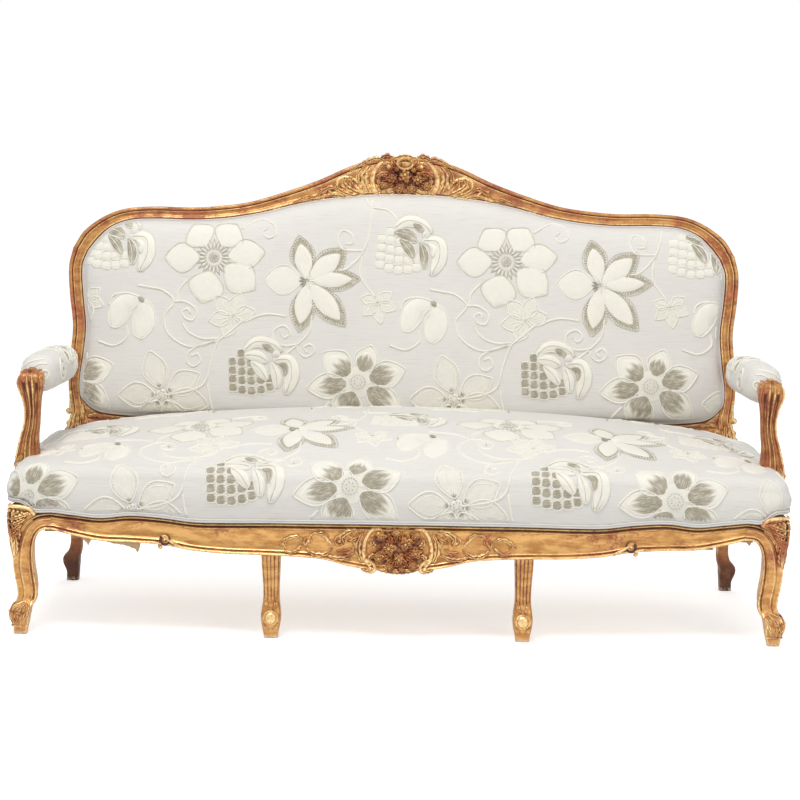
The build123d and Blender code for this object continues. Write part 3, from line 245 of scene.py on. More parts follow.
def bottom_rail_rows():
    """Rows of the back's bottom rail, left to right: x and rise of its lower and upper edge."""
    end = back_half_width - bottom_rail_end
    low = bottom_rail_top - bottom_rail_height
    level = (*bottom_rail_rise, (end / 2, 0), (end, 0))
    half = [(d - end, low, d - end, bottom_rail_top + rise) for d, rise in level]
    # Past the opening the rail runs on under the post
    half.insert(0, (-end - 13, low, -end - 13, bottom_rail_top + bottom_rail_rise[0][1] + 12))
    right = [(-a, b, -c, d) for a, b, c, d in half[-2::-1]]
    return eased(half + right)


# Left post upwards, left half of the crest from its joint to the middle, and the whole crest
opening_side_low = bottom_rail_top + 40.0
post_rows = eased([
    *((a - back_half_width, rise, b - back_half_width, rise) for rise, a, b in post_outline),
    shoulder_row(*shoulder_outline[0]),
])
crest_rows = eased([
    *(shoulder_row(*row) for row in shoulder_outline),
    *((-a, shoulder_height + rise, -b, shoulder_height + low) for a, rise, b, low in hump_outline),
])
crest_full = np.concatenate([crest_rows, crest_rows[-2::-1] * [-1, 1, -1, 1]])
bottom_rows = bottom_rail_rows()


def opening_outline():
    """The opening of the back as a closed outline (x, rise), clockwise from its lowest middle."""
    foot = bottom_rows[:, 2:]
    foot = foot[(foot[:, 0] <= 0) & (foot[:, 0] > bottom_rail_end - back_half_width)][::-1]
    side = post_rows[post_rows[:, 3] > opening_side_low][:, 2:]
    left = np.concatenate([foot, side, crest_rows[1:, 2:]])
    return np.concatenate([left, left[-2:0:-1] * [-1, 1]])


opening = opening_outline()


# ================================================================ forms
class Form:
    """Points, faces, and for each point its place on the surface and its three marks: on wood, the groove
    (painted shade, and clay in the hollows), the crest (painted highlight) and the age; on needlework,
    the thread's colour.
    """

    def __init__(self):
        self.points = []
        self.faces = []
        self.places = []
        self.marks = []
        self.count = 0

    def add(self, points, faces, places=None, marks=(0, 0, 0)):
        points = np.asarray(points, float).reshape(-1, 3)
        size = len(points)
        self.points.append(points)
        for part in faces if isinstance(faces, list) else [faces]:
            self.faces.append(np.asarray(part, int) + self.count)
        places = np.zeros((size, 2)) if places is None else np.asarray(places, float)
        self.places.append(places.reshape(-1, 2))
        marks = np.asarray(marks, float)
        marks = marks if marks.ndim == 1 else marks.reshape(-1, 3)
        self.marks.append(np.broadcast_to(marks, (size, 3)))
        self.count += size

    def join(self, other, ground=None, places=None):
        """Adds another form, laid on a ground where one is given."""
        points = np.concatenate(other.points)
        points = points if ground is None else ground(points)
        self.add(points, other.faces, places, np.concatenate(other.marks))

    def mirrored(self):
        """The form for the other side."""
        other = Form()
        other.points = [points * [-1, 1, 1] for points in self.points]
        other.faces, other.places = self.faces, self.places
        other.marks, other.count = self.marks, self.count
        return other


def lattice(rows, columns, closed=False):
    """Quads between the neighbours of a lattice of points, closed round its columns or not."""
    column = np.arange(columns if closed else columns - 1)
    r, c = np.meshgrid(np.arange(rows - 1), column, indexing="ij")
    after = (c + 1) % columns
    corners = [r * columns + c, r * columns + after, (r + 1) * columns + after, (r + 1) * columns + c]
    return np.stack(corners, -1).reshape(-1, 4)


def fan(first, count, middle):
    """Triangles between a ring of points and the point in its middle."""
    turn = np.arange(count)
    return np.column_stack([first + turn, first + (turn + 1) % count, np.full(count, middle)])


def make_piece(form, name, material, replaced=(), sharp=None, keep=None):
    """One object from a form, riding on the settee. keep picks the points that may stay."""
    points = np.concatenate(form.points)
    faces = [face for block in form.faces for face in block.tolist()]
    if keep is not None:
        faces = [face for face in faces if keep[face].all()]
    placed = (points + [0, shift_y, 0]) * MM
    mesh = bpy.data.meshes.new(name)
    mesh.from_pydata(placed.tolist(), [], faces)
    tint = mesh.attributes.new("marks", "FLOAT_COLOR", "POINT")
    marks = np.concatenate(form.marks)
    colours = np.column_stack([marks, np.ones(len(marks))])
    tint.data.foreach_set("color", colours.astype(np.float32).ravel())
    corner_points = np.empty(len(mesh.loops), int)
    mesh.loops.foreach_get("vertex_index", corner_points)
    layer = mesh.uv_layers.new(name="place")
    places = np.concatenate(form.places) * MM
    layer.data.foreach_set("uv", places[corner_points].astype(np.float32).ravel())
    shape = bmesh.new()
    shape.from_mesh(mesh)
    loose = [v for v in shape.verts if not v.link_faces]
    bmesh.ops.delete(shape, geom=loose, context="VERTS")
    bmesh.ops.recalc_face_normals(shape, faces=shape.faces)
    shape.to_mesh(mesh)
    shape.free()
    mesh.shade_smooth()
    if sharp:
        mesh.set_sharp_from_angle(angle=radians(sharp))
    piece = bpy.data.objects.new(name, mesh)
    bpy.context.scene.collection.objects.link(piece)
    mesh.materials.append(material)
    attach(piece, "root")
    if replaced:
        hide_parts(*replaced)
    return piece


def skin(form, rings, marks=(0, 0, 0), places=None):
    """A skin over closed rings of as many points each, with flat ends."""
    rings = np.asarray(rings, float)
    count, size = rings.shape[:2]
    points = rings.reshape(-1, 3)
    faces = [lattice(count, size, closed=True)]
    marks = np.broadcast_to(np.asarray(marks, float), (count, size, 3)).reshape(-1, 3)
    if places is None:
        places = np.zeros((len(points), 2))
    points = np.concatenate([points, [rings[0].mean(0), rings[-1].mean(0)]])
    marks = np.concatenate([marks, marks[:1], marks[-1:]])
    places = np.concatenate([places, np.zeros((2, 2))])
    faces.append(fan(0, size, count * size))
    faces.append(fan((count - 1) * size, size, count * size + 1))
    form.add(points, faces, places, marks)


def make_pair(form, name, node, sharp):
    """A gilt piece on the left and its twin on the right."""
    for side, shape in (("left", form), ("right", form.mirrored())):
        make_piece(shape, f"{name}_{side}", gilt, [f"{node}_{side}"], sharp)


# ================================================================ wooden members
def profile_section(width, depth, profile):
    """(across, height, groove, crest) round a member. Each row of the profile has a share of the
    width, millimetres past it, height under the face, groove and crest. The groove value paints
    shade into the hollows, and the crest value paints a highlight on the ridges."""
    rows = np.array(profile, float)
    small = min(1.0, width / 42)
    across = (rows[:, 0] - 0.5) * width + rows[:, 1] * small
    face = np.column_stack([across, depth + rows[:, 2] * small, rows[:, 3], rows[:, 4]])
    half = width / 2
    # The back and sides of the member get some painted shade.
    low = [(2 - half, 0, 0.4, 0), (-half, 2, 0.3, 0), (-half, depth * 0.4, 0.1, 0.1)]
    high = [(half, depth * 0.4, 0.1, 0.1), (half, 2, 0.3, 0), (half - 2, 0, 0.4, 0)]
    return np.concatenate([low, face, high])


def arch(share, middle, radius, top, groove, crest, count=7):
    """Rows of a round bead, from its inner to its outer side, with painted shade down its sides and a
    painted highlight on its top.
    """
    rows = []
    for angle in np.linspace(pi, 0, count):
        high = sin(angle)
        place = (share, middle + radius * cos(angle), top - radius * (1 - high))
        rows.append((*place, groove * (1.2 - high), crest * high))
    return rows


# Back frame: a bead, a quirk, a hollow and a heavy outer bead
# In these profiles the groove column paints shade into the quirks and hollows, and the crest column
# paints a highlight on the beads and ridges.
back_profile = [
    (0, 0, -9, 0.3, 0), *arch(0, 3.6, 3.5, -0.6, 0.4, 0.45),
    (0, 7.8, -6.4, 1, 0), (0, 8.8, -3.4, 0.4, 0.3), (0, 10.2, -3.0, 0, 0.9),
    *[(0.24 + 0.47 * t, 2.6 * (1 - 2 * t), -3.4 - 4.0 * sin(pi * t), 0.05 + 0.25 * t, 0.55 - 0.5 * t)
      for t in np.linspace(0.04, 0.96, 9)],
    (1, -13.0, -3.0, 0, 0.9), (1, -11.9, -3.3, 0.4, 0.4), (1, -10.8, -6.8, 1, 0),
    (1, -9.9, -5.4, 0.8, 0),
    *arch(1, -5.1, 5.0, 0, 0.55, 0.5, 9), (1, 0, -9, 0.35, 0),
]
# Seat rails and front legs: a bead over a quirk, a ridge, a wide hollow, a ridge and a lower bead
rail_profile = [
    (0, 0, -8, 0.2, 0), (0, 0.6, -3.2, 0.1, 0.3), (0, 1.8, -1.0, 0, 0.7), (0, 3.4, -0.2, 0, 0.8),
    (0, 5.0, -1.0, 0.2, 0.4), (0, 6.3, -4.6, 0.9, 0), (0, 7.6, -5.8, 1, 0), (0, 9.2, -5.2, 0.9, 0),
    (0, 10.4, -2.4, 0.3, 0.4), (0, 12.0, -1.2, 0, 1), (0, 13.6, -2.2, 0, 0.5), (0, 15.0, -4.0, 0.35, 0.1),
    *[(t, 15.6 * (1 - 2 * t), -3.8 - 2.4 * sin(pi * t) ** 0.6, 0.24 - 0.2 * sin(pi * t), 0.14)
      for t in np.linspace(0.05, 0.95, 8)],
    (1, -15.0, -3.9, 0.35, 0.1), (1, -13.6, -1.9, 0, 0.6), (1, -12.2, -0.9, 0, 1),
    (1, -10.8, -2.2, 0.2, 0.4), (1, -9.6, -4.6, 0.6, 0), (1, -8.2, -5.0, 0.7, 0),
    (1, -7.0, -3.8, 0.4, 0.1), (1, -5.6, -1.6, 0.1, 0.5), (1, -4.0, -0.7, 0, 0.9),
    (1, -2.2, -1.3, 0, 0.8), (1, -0.7, -3.4, 0.2, 0.4), (1, 0, -7, 0.3, 0),
]
# Front legs: the same beads, and a ridge between a narrow band and a wide hollow
leg_profile = [
    *rail_profile[:7], (0, 9.2, -3.8, 0.8, 0), (0.25, 0, -2.6, 0.55, 0), (0.30, 0, -2.7, 0.6, 0),
    (0.34, 0, -1.5, 0.15, 0.6), (0.37, 0, -0.4, 0, 1), (0.40, 0, -1.6, 0.1, 0.6),
    *[(0.43 + 0.30 * t, 0, -2.4 - 2.4 * sin(pi * t), 0.1, 0.15) for t in np.linspace(0, 1, 6)],
    (0.75, 0, -1.4, 0, 0.7), (0.77, 0, -1.6, 0.2, 0.4), *rail_profile[-10:],
]


def moulded(form, stations, age, profile):
    """A moulded member through stations of (rear middle, across, normal, width, depth)."""
    rings = []
    marks = []
    for middle, across, normal, width, depth in stations:
        section = profile_section(width, depth, profile)
        rings.append(middle + section[:, :1] * across + section[:, 1:2] * normal)
        marks.append(np.column_stack([section[:, 2:], np.full(len(section), age)]))
    skin(form, rings, np.array(marks))


def back_stations(rows):
    """Stations of the back frame from rows of outer and inner points."""
    stations = []
    for outer_x, outer_rise, inner_x, inner_rise in rows:
        outer = back_points([(outer_x, outer_rise, -back_depth)])[0]
        inner = back_points([(inner_x, inner_rise, -back_depth)])[0]
        width = np.linalg.norm(outer - inner)
        way = (outer - inner) / width
        stations.append(((outer + inner) / 2, way, back_normal, width, back_depth))
    return stations


def square_section(width, depth, per_side=20):
    """(across, along, groove, crest) round a square member with softly rounded sides, and a painted
    highlight along its corners.
    """
    corner = 0.9
    t = np.linspace(-1, 1, per_side, endpoint=False)
    sides = []
    for side in range(4):
        half, reach = (width / 2, depth / 2) if side % 2 == 0 else (depth / 2, width / 2)
        out = half - half * (1 - corner) * t**2
        along = reach * corner * t
        turn = ((out, along), (-along, out), (-out, -along), (along, -out))[side]
        crest = np.clip((np.abs(t) - 0.72) / 0.2, 0, 1)
        sides.append(np.column_stack([*turn, np.zeros(per_side), crest * 0.8]))
    return np.concatenate(sides)


def square_member(form, rows, age, level=True):
    """A square member through rows of (place, width, depth), level or standing along y. The age
    is one value or one for each row."""
    second = np.array([0.0, 1.0, 0.0]) if level else np.array([0.0, 0.0, 1.0])
    rings = []
    marks = []
    for (place, width, depth), here in zip(rows, np.broadcast_to(age, len(rows))):
        section = square_section(width, depth)
        rings.append(np.asarray(place) + section[:, :1] * across_x + section[:, 1:2] * second)
        marks.append(np.column_stack([section[:, 2:], np.full(len(section), here)]))
    skin(form, rings, np.array(marks))


# ================================================================ carving and needlework
def flat_ground(points):
    """The ground of a carving or of needlework that is laid on its real ground at the end."""
    return points.copy()


def strand(form, ground, path, radius, height, tint, sides=5, taper=0.0, lift=0.0):
    """A raised half-round line along a path on a ground, thinner towards its end by taper."""
    path = np.asarray(path, float)
    across = side_ways(path)
    share = np.linspace(0, 1, len(path))
    thick = radius * (1 - taper * share)
    angles = np.linspace(0, pi, sides)
    flat = path[:, None, :] + across[:, None, :] * (thick[:, None] * np.cos(angles))[..., None]
    rise = lift + (height / radius) * thick[:, None] * np.sin(angles) - 0.35 * (np.sin(angles) < 0.01)
    places = np.stack(np.broadcast_arrays(lengths_along(path)[:, None], angles * radius), -1)
    points = np.concatenate([flat, rise[..., None]], -1).reshape(-1, 3)
    form.add(ground(points), lattice(len(path), sides), places, tint)


def blade(form, ground, spine, width, rise, tint, lobes=0, vein=0.0, across_count=9, blunt=0.62,
          lift=0.0):
    """A leaf or petal: a domed form along a spine, with a lobed edge and a vein down its middle."""
    length = np.linalg.norm(np.diff(np.asarray(spine, float), axis=0), axis=1).sum()
    path = curve_through(spine, max(length / 22, 0.8))
    share = np.linspace(0, 1, len(path))
    half = width * np.sin(pi * np.clip(0.04 + 0.96 * share, 0, 1) ** 1.1) ** blunt
    if lobes:
        half = half * (1 - 0.35 * np.abs(np.cos(pi * lobes * share)) ** 2.5)
    c = np.linspace(-1, 1, across_count)
    across = side_ways(path)
    flat = path[:, None, :] + across[:, None, :] * (half[:, None] * c)[..., None]
    dome = (1 - np.abs(c) ** 2.4)[None, :] * (half / max(width, 1e-9))[:, None] ** 0.5
    height = rise * dome - vein * rise * np.exp(-((c / 0.16) ** 2))[None, :] * dome
    groove = np.exp(-((c / 0.2) ** 2))[None, :] * (vein > 0) * np.ones_like(dome)
    if lobes:
        ripple = np.cos(2 * pi * lobes * share[:, None] - 2.2 * np.abs(c)[None, :])
        height = height + 0.16 * rise * ripple * dome
        groove = np.maximum(groove, np.clip(ripple * 0.6, 0, 1) * np.abs(c)[None, :])
    height[:, 0] = -0.6
    height[:, -1] = -0.6
    places = np.stack(np.broadcast_arrays(lengths_along(path)[:, None], half[:, None] * c), -1)
    points = np.concatenate([flat, (height + lift)[..., None]], -1).reshape(-1, 3)
    if tint is None:
        # A carved leaf: painted shade in its vein and lobes, and a painted highlight on its dome.
        crest = np.clip(dome * 1.1 - 0.2, 0, 1)
        marks = np.stack([groove * 0.7, crest, np.full_like(dome, 0.45)], -1)
    elif callable(tint):
        marks = tint(share[:, None, None], c[None, :, None])
    else:
        marks = np.broadcast_to(np.asarray(tint, float), (*dome.shape, 3))
    form.add(ground(points), lattice(len(path), across_count), places, marks.reshape(-1, 3))


def boss(form, ground, centre, radius, rise, tint, ratio=1.0, rings=5, around=16, lift=0.0):
    """A low dome."""
    turn = np.linspace(0, tau, around, endpoint=False)
    share = np.linspace(0.05, 1, rings)
    reach = radius * share[:, None] * np.ones(around)
    flat = np.stack([centre[0] + reach * np.cos(turn), centre[1] + reach * ratio * np.sin(turn)], -1)
    height = lift + rise * np.sqrt(np.clip(1 - share**2, 0, 1))[:, None] * np.ones(around)
    height[-1] -= 0.6
    points = np.concatenate([flat, height[..., None]], -1).reshape(-1, 3)
    faces = [lattice(rings, around, closed=True), np.arange(around)[None, :]]
    places = np.stack([turn[None, :] * radius + 0 * reach, reach], -1)
    form.add(ground(points), faces, places, tint)


def spiral(centre, radius, turns, start, inner=0.16, steps=40, stretch=1.0):
    """Points of a spiral that winds in round a centre; negative turns wind clockwise."""
    share = np.linspace(0, 1, steps)
    angle = start + tau * turns * share
    reach = radius * (1 - (1 - inner) * share**0.85)
    across = reach * np.cos(angle) * stretch
    return np.column_stack([centre[0] + across, centre[1] + reach * np.sin(angle)])


def scroll(form, ground, centre, radius, turns, start, thick, tail=()):
    """A carved scroll: a tail that runs into a spiral and ends in a button."""
    tail = np.asarray(tail, float).reshape(-1, 2)
    path = curve_through(np.concatenate([tail, spiral(centre, radius, turns, start)]), thick * 0.7)
    marks = (0.05, 0.75, 0.45)
    strand(form, ground, path, thick, thick * 1.15, marks, sides=7, taper=0.45)
    boss(form, ground, centre, thick * 0.95, thick * 1.3, marks, around=12)


def leaves(form, rows, vein, side=1, middle=0.0, ground=flat_ground):
    """Carved leaves on one side: (points of the spine, half width, rise, lobes)."""
    for points, width, rise, lobes in rows:
        spine = [(side * x, middle + y) for x, y in points]
        blade(form, ground, spine, width, rise, None, lobes=lobes, vein=vein)


def curls(form, side, middle, rows):
    """Scrolls on one side: (x, y, radius, turns, start, thickness, tail)."""
    for x, y, radius, turns, start, thick, tail in rows:
        begin = start if side > 0 else pi - start
        scroll(form, flat_ground, (side * x, middle + y), radius, turns * side, begin, thick,
               tail=[(side * a, middle + b) for a, b in tail])


def carved_flower(form, centre, radius, petals, rise, start=0.0, lift=0.0):
    """A carved flower head: two rows of petals round a button."""
    for row, (reach, high) in enumerate(((1.0, 0.7), (0.66, 1.0))):
        for k in range(petals):
            angle = start + tau * (k + row * 0.5) / petals
            way = np.array([cos(angle), sin(angle)])
            spine = [np.array(centre) + way * radius * s * reach for s in (0.12, 0.55, 1.0)]
            blade(form, flat_ground, spine, radius * reach * 0.42, rise * high * 0.6, None,
                  vein=0.35, across_count=7, lift=lift + rise * 0.35 * row)
    boss(form, flat_ground, centre, radius * 0.24, rise * 0.8, (0.3, 0.8, 0.45),
         lift=lift + rise * 0.55)


def paint_hollow_shade_and_crest_light(form, cell=1.6, reach=4, depth=3.2):
    """Paints a carving's hollows dark and its crests bright, from its own heights: painted shade and
    painted highlights.
    """
    points = np.concatenate(form.points)
    low = points[:, :2].min(0) - 12 * cell
    spot = ((points[:, :2] - low) / cell).astype(int)
    size = spot.max(0) + 13
    top = np.full(size, -1.0)
    np.maximum.at(top, tuple(spot.T), points[:, 2])
    for _ in range(3):
        for axis in (0, 1):
            top = sum(np.roll(top, k, axis) for k in range(-reach, reach + 1)) / (2 * reach + 1)
    over = points[:, 2] - top[tuple(spot.T)]
    marks = np.concatenate(form.marks).copy()
    # Groove: painted shade in the hollows; crest: painted highlight on the raised parts.
    marks[:, 0] = np.clip(np.maximum(0.25 - over / depth, marks[:, 0]), 0, 1)
    marks[:, 1] = np.clip(over / depth, 0, 1)
    form.marks = [marks]


def laid(form, ground, depth=3.2):
    """The flat drawn form on its real ground, after painting shade into its hollows and highlights on its
    crests.
    """
    paint_hollow_shade_and_crest_light(form, depth=depth)
    form.points = [ground(np.concatenate(form.points))]
    return form


# ================================================================ materials
# A wave texture of scale 1 repeats after this many metres
wave_pitch = 0.314


class Nodes:
    """A material's node tree with short ways to add to it."""

    def __init__(self, name):
        self.material = bpy.data.materials.new(name)
        self.material.use_nodes = True
        self.tree = self.material.node_tree
        self.shader = self.tree.nodes["Principled BSDF"]

    def add(self, kind, values=(), **settings):
        node = self.tree.nodes.new("ShaderNode" + kind)
        for key, value in settings.items():
            setattr(node, key, value)
        for key, value in dict(values).items():
            if isinstance(value, bpy.types.NodeSocket):
                self.tree.links.new(value, node.inputs[key])
            else:
                node.inputs[key].default_value = value
        return node

    def math(self, operation, first, second=0.0, clamp=False):
        return self.add("Math", {0: first, 1: second}, operation=operation, use_clamp=clamp).outputs[0]

    def times(self, first, second):
        return self.math("MULTIPLY", first, second)

    def plus(self, first, second):
        return self.math("ADD", first, second)

    def mix(self, share, first, second):
        return self.add("Mix", {0: share, 6: first, 7: second}, data_type="RGBA").outputs[2]

    def stretched(self, place, scale):
        return self.add("Mapping", {0: place, 3: scale}).outputs[0]

    def threads(self, place, pitch, direction="X", **values):
        """Lines at a given pitch in metres."""
        values = {key.replace("_", " "): value for key, value in values.items()}
        values = {"Vector": place, "Scale": wave_pitch / pitch, **values}
        return self.add("TexWave", values, bands_direction=direction).outputs["Fac"]

    def noise(self, scale, detail=3.0, place=None, roughness=0.5):
        values = {"Scale": scale, "Detail": detail, "Roughness": roughness}
        if place is not None:
            values["Vector"] = place
        return self.add("TexNoise", values).outputs["Fac"]

    def ramp(self, value, low, high):
        values = {0: value, 1: low, 2: high}
        return self.add("MapRange", values, interpolation_type="SMOOTHSTEP").outputs[0]

    def set(self, **values):
        for key, value in values.items():
            socket = self.shader.inputs[key.replace("_", " ")]
            if isinstance(value, bpy.types.NodeSocket):
                self.tree.links.new(value, socket)
            else:
                socket.default_value = value
        return self.material

    def bump(self, height, distance, strength=1.0, before=None):
        values = {"Height": height, "Distance": distance, "Strength": strength}
        if before is not None:
            values["Normal"] = before
        return self.add("Bump", values).outputs[0]


def paint(red, green, blue):
    """A display colour of 0 to 255 as a linear one."""
    return (*(((v / 255 + 0.055) / 1.055) ** 2.4 for v in (red, green, blue)), 1.0)


def gilding():
    """Gold leaf over red clay, worn through to the clay in patches, with a painted highlight that makes
    the ridges bright and painted shade that makes the quirks dark and shows the clay in the hollows.
    """
    n = Nodes("gilding")
    place = n.add("TexCoord").outputs["Object"]
    marks = n.add("SeparateColor", {0: n.add("Attribute", attribute_name="marks").outputs["Color"]})
    groove, crest, age = marks.outputs[0], marks.outputs[1], marks.outputs[2]
    patches = n.noise(16.0, 5.0, place, 0.62)
    flecks = n.noise(150.0, 4.0, place, 0.7)
    streaks = n.noise(70.0, 4.0, n.stretched(place, (0.3, 1.5, 1.0)), 0.65)
    middle = n.mix(n.ramp(streaks, 0.36, 0.64), paint(184, 128, 68), paint(228, 178, 108))
    worn = n.mix(n.ramp(flecks, 0.35, 0.65), paint(146, 88, 48), paint(200, 138, 84))
    gold = n.mix(n.times(age, 0.8), middle, worn)
    # Painted highlight: pale gold on the crests.
    bright = n.times(n.ramp(crest, 0.35, 1.0), n.ramp(flecks, 0.34, 0.56))
    gold = n.mix(n.times(bright, 0.85), gold, paint(255, 228, 168))
    # Worn patches from age and noise, plus painted shade from the groove mark that shows the clay in the
    # hollows.
    wear_and_hollow_shade = n.plus(n.times(age, 0.34), n.times(groove, 0.42))
    wear_and_hollow_shade = n.plus(wear_and_hollow_shade, n.times(n.math("SUBTRACT", patches, 0.5), 1.7))
    wear_and_hollow_shade = n.plus(wear_and_hollow_shade, n.times(n.math("SUBTRACT", flecks, 0.5), 1.1))
    clay_share = n.times(n.ramp(wear_and_hollow_shade, 0.2, 0.46), 0.85)
    clay = n.mix(n.ramp(streaks, 0.3, 0.7), paint(136, 62, 38), paint(186, 106, 70))
    colour = n.mix(clay_share, gold, clay)
    # Painted shade: near-black brown in the quirks.
    quirk = n.times(n.ramp(groove, 0.4, 0.95), n.ramp(flecks, 0.1, 0.5))
    old = n.times(n.ramp(age, 0.74, 1.0), n.ramp(patches, 0.25, 0.5))
    dark_share = n.math("MAXIMUM", n.times(quirk, 0.92), n.times(old, 0.85))
    colour = n.mix(dark_share, colour, paint(66, 30, 18))
    height = n.add("SeparateXYZ", {0: place}).outputs[2]
    tip = n.times(n.ramp(height, 0.012, 0.004), n.ramp(flecks, 0.42, 0.56))
    colour = n.mix(n.times(tip, 0.85), colour, paint(208, 192, 170))
    bare = n.math("ADD", clay_share, dark_share, clamp=True)
    metal = n.times(n.math("SUBTRACT", 1.0, bare), 0.5)
    rough = n.plus(n.times(bare, 0.2), n.plus(n.times(flecks, 0.2), 0.26))
    grain = n.bump(n.plus(n.times(streaks, 0.6), n.times(flecks, 0.5)), 0.0012, 0.6)
    chips = n.bump(clay_share, 0.0005, -0.5, grain)
    return n.set(Base_Color=colour, Metallic=metal, Roughness=rough, Normal=chips)


def bare_wood(name, first, second):
    """Unfinished wood with grain along x."""
    n = Nodes(name)
    place = n.add("TexCoord").outputs["Object"]
    grain = n.noise(1.6, 6.0, n.stretched(place, (3.0, 40.0, 40.0)), 0.6)
    stains = n.noise(7.0, 3.0, place)
    colour = n.mix(n.ramp(grain, 0.35, 0.65), first, second)
    colour = n.mix(n.times(n.ramp(stains, 0.5, 0.75), 0.4), colour, paint(92, 62, 38))
    return n.set(Base_Color=colour, Roughness=0.72, Normal=n.bump(grain, 0.0006, 0.5))


def woven(name, base, shade, pitch, depth, place_kind="UV", slub=0.5, sheen=0.25):
    """Plain-woven cloth: threads both ways, with thicker threads here and there."""
    n = Nodes(name)
    coordinates = n.add("TexCoord")
    place = coordinates.outputs[place_kind]
    flow = n.noise(3.0, 2.0, coordinates.outputs["Object"])
    warp, weft = (n.threads(place, pitch, way, Distortion=0.8, Detail=1.0) for way in "XY")
    threads = n.times(n.plus(warp, weft), 0.5)
    slubs = n.noise(1.0, 2.0, n.stretched(place, (18.0, 420.0, 1.0)))
    colour = n.mix(n.times(n.ramp(slubs, 0.5, 0.72), slub), base, shade)
    colour = n.mix(n.times(threads, 0.22), colour, shade)
    colour = n.mix(n.times(n.ramp(flow, 0.45, 0.7), 0.12), colour, shade)
    height = n.plus(threads, n.times(slubs, 0.8))
    relief = n.bump(height, depth, 0.6)
    return n.set(Base_Color=colour, Roughness=0.86, Sheen_Weight=sheen, Normal=relief)


def needlework():
    """Satin stitches in the thread colour that each point carries, with a painted sheen streaked along
    the stitches.
    """
    n = Nodes("needlework")
    tint = n.add("Attribute", attribute_name="marks").outputs["Color"]
    coordinates = n.add("TexCoord")
    place = coordinates.outputs["UV"]
    stitches = n.threads(place, 0.0016, Distortion=2.2, Detail=2.0, Detail_Scale=0.6)
    brushed = n.noise(1.0, 3.0, n.stretched(place, (55.0, 520.0, 1.0)), 0.6)
    mottle = n.noise(70.0, 3.0, coordinates.outputs["Object"])
    pale = n.mix(0.55, tint, paint(250, 246, 232))
    # Painted sheen: paler streaks along the stitches.
    painted_sheen = n.plus(n.times(brushed, 0.7), n.times(mottle, 0.3))
    colour = n.mix(n.times(n.ramp(painted_sheen, 0.46, 0.60), 0.8), tint, pale)
    dark = n.mix(0.4, tint, paint(120, 112, 98))
    colour = n.mix(n.times(n.ramp(stitches, 0.35, 0.0), 0.3), colour, dark)
    relief = n.bump(stitches, 0.0006, 0.7)
    return n.set(Base_Color=colour, Roughness=0.6, Sheen_Weight=0.3, Normal=relief)


def cord_cloth():
    """Pale grey cloth of the welts, with a fine slanting weave."""
    n = Nodes("welt_cloth")
    place = n.add("Mapping", {0: n.add("TexCoord").outputs["UV"], 2: (0, 0, 0.7)}).outputs[0]
    twill = n.threads(place, 0.0014)
    colour = n.mix(n.times(twill, 0.5), paint(220, 217, 211), paint(192, 189, 184))
    relief = n.bump(twill, 0.0004, 0.6)
    return n.set(Base_Color=colour, Roughness=0.85, Sheen_Weight=0.2, Normal=relief)


def metal(name, colour, rough):
    """Plain metal with worn patches."""
    n = Nodes(name)
    wear = n.noise(240.0, 3.0, n.add("TexCoord").outputs["Object"])
    tone = n.mix(n.ramp(wear, 0.45, 0.7), colour, paint(96, 84, 72))
    return n.set(Base_Color=tone, Metallic=0.9, Roughness=n.plus(n.times(wear, 0.3), rough))


gilt = gilding()
raw_wood = bare_wood("raw_wood", paint(190, 158, 116), paint(148, 112, 74))
cover_cloth = woven("cover_cloth", paint(223, 220, 214), paint(202, 199, 193), 0.0011, 0.0004)
lining_cloth = woven("lining_cloth", paint(214, 190, 152), paint(178, 148, 108), 0.0014, 0.0003, slub=0.9)
jute = woven("jute", paint(176, 150, 108), paint(128, 104, 70), 0.003, 0.0008, "Object", 0.8, 0.1)
thread = needlework()
welt_cloth = cord_cloth()
screw_steel = metal("screw_steel", paint(176, 172, 164), 0.3)
spring_steel = metal("spring_steel", paint(176, 138, 104), 0.34)

node_materials = {
    "rear_seat_rail": raw_wood, "seat_brace_left": raw_wood, "seat_brace_right": raw_wood,
    "corner_blocks": raw_wood, "corner_block_screws": screw_steel, "seat_springs": spring_steel,
    "seat_webbing": jute, "seat_hessian": jute, "back_webbing": jute, "back_hessian": jute,
}
for node, material in node_materials.items():
    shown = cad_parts[node]
    shown.data.materials.clear()
    shown.data.materials.append(material)

# ================================================================ back frame
back_age = 0.55
front_age = 0.12


def add_back_leg(form):
    """The back leg, and the square stump above it that the side rail meets."""
    rows = eased(back_leg_outline)
    places = [((-x, y, z), w, d) for z, x, y, w, d in rows]
    square_member(form, places, 0.62 + 0.38 * np.clip((150 - rows[:, 0]) / 110, 0, 1))
    west, east, front, rear = -826.0, -786.3, 532.3, 578.0
    corners = ((west, front), (east, front), (east, rear), (west, rear))
    skin(form, [[(x, y, z) for x, y in corners] for z in (216, 300)], (0, 0.2, 0.8))


def post_carving():
    """The curl on the outside of the post, the leaf below it, and the corner beside the bottom rail."""
    form = Form()
    scroll(form, flat_ground, (-817, 429), 8.5, -1.1, 1.2, 4.6, tail=[(-814, 478), (-812, 456)])
    boss(form, flat_ground, (-817, 429), 7.5, 9, (0.2, 0.7, 0.6))
    leaves(form, (
        ([(-804, 426), (-810, 402), (-815, 378), (-818, 352)], 13, 7, 4),
        ([(-795, 420), (-796, 394), (-799, 366)], 8, 6, 3),
    ), 0.4)
    scroll(form, flat_ground, (-776, 402), 8, 1.0, -1.6, 3.6, tail=[(-790, 380), (-782, 388)])
    leaves(form, (
        ([(-772, 416), (-752, 420), (-732, 414)], 8, 5, 3),
        ([(-784, 448), (-783, 426), (-788, 404)], 7, 4, 3),
    ), 0.3)
    return laid(form, lambda points: back_points(points + [0, 0, -3.0]))


left_post = Form()
moulded(left_post, back_stations(post_rows), back_age, back_profile)
add_back_leg(left_post)
left_post.join(post_carving())
make_pair(left_post, "post_and_leg", "rear_post", 38)

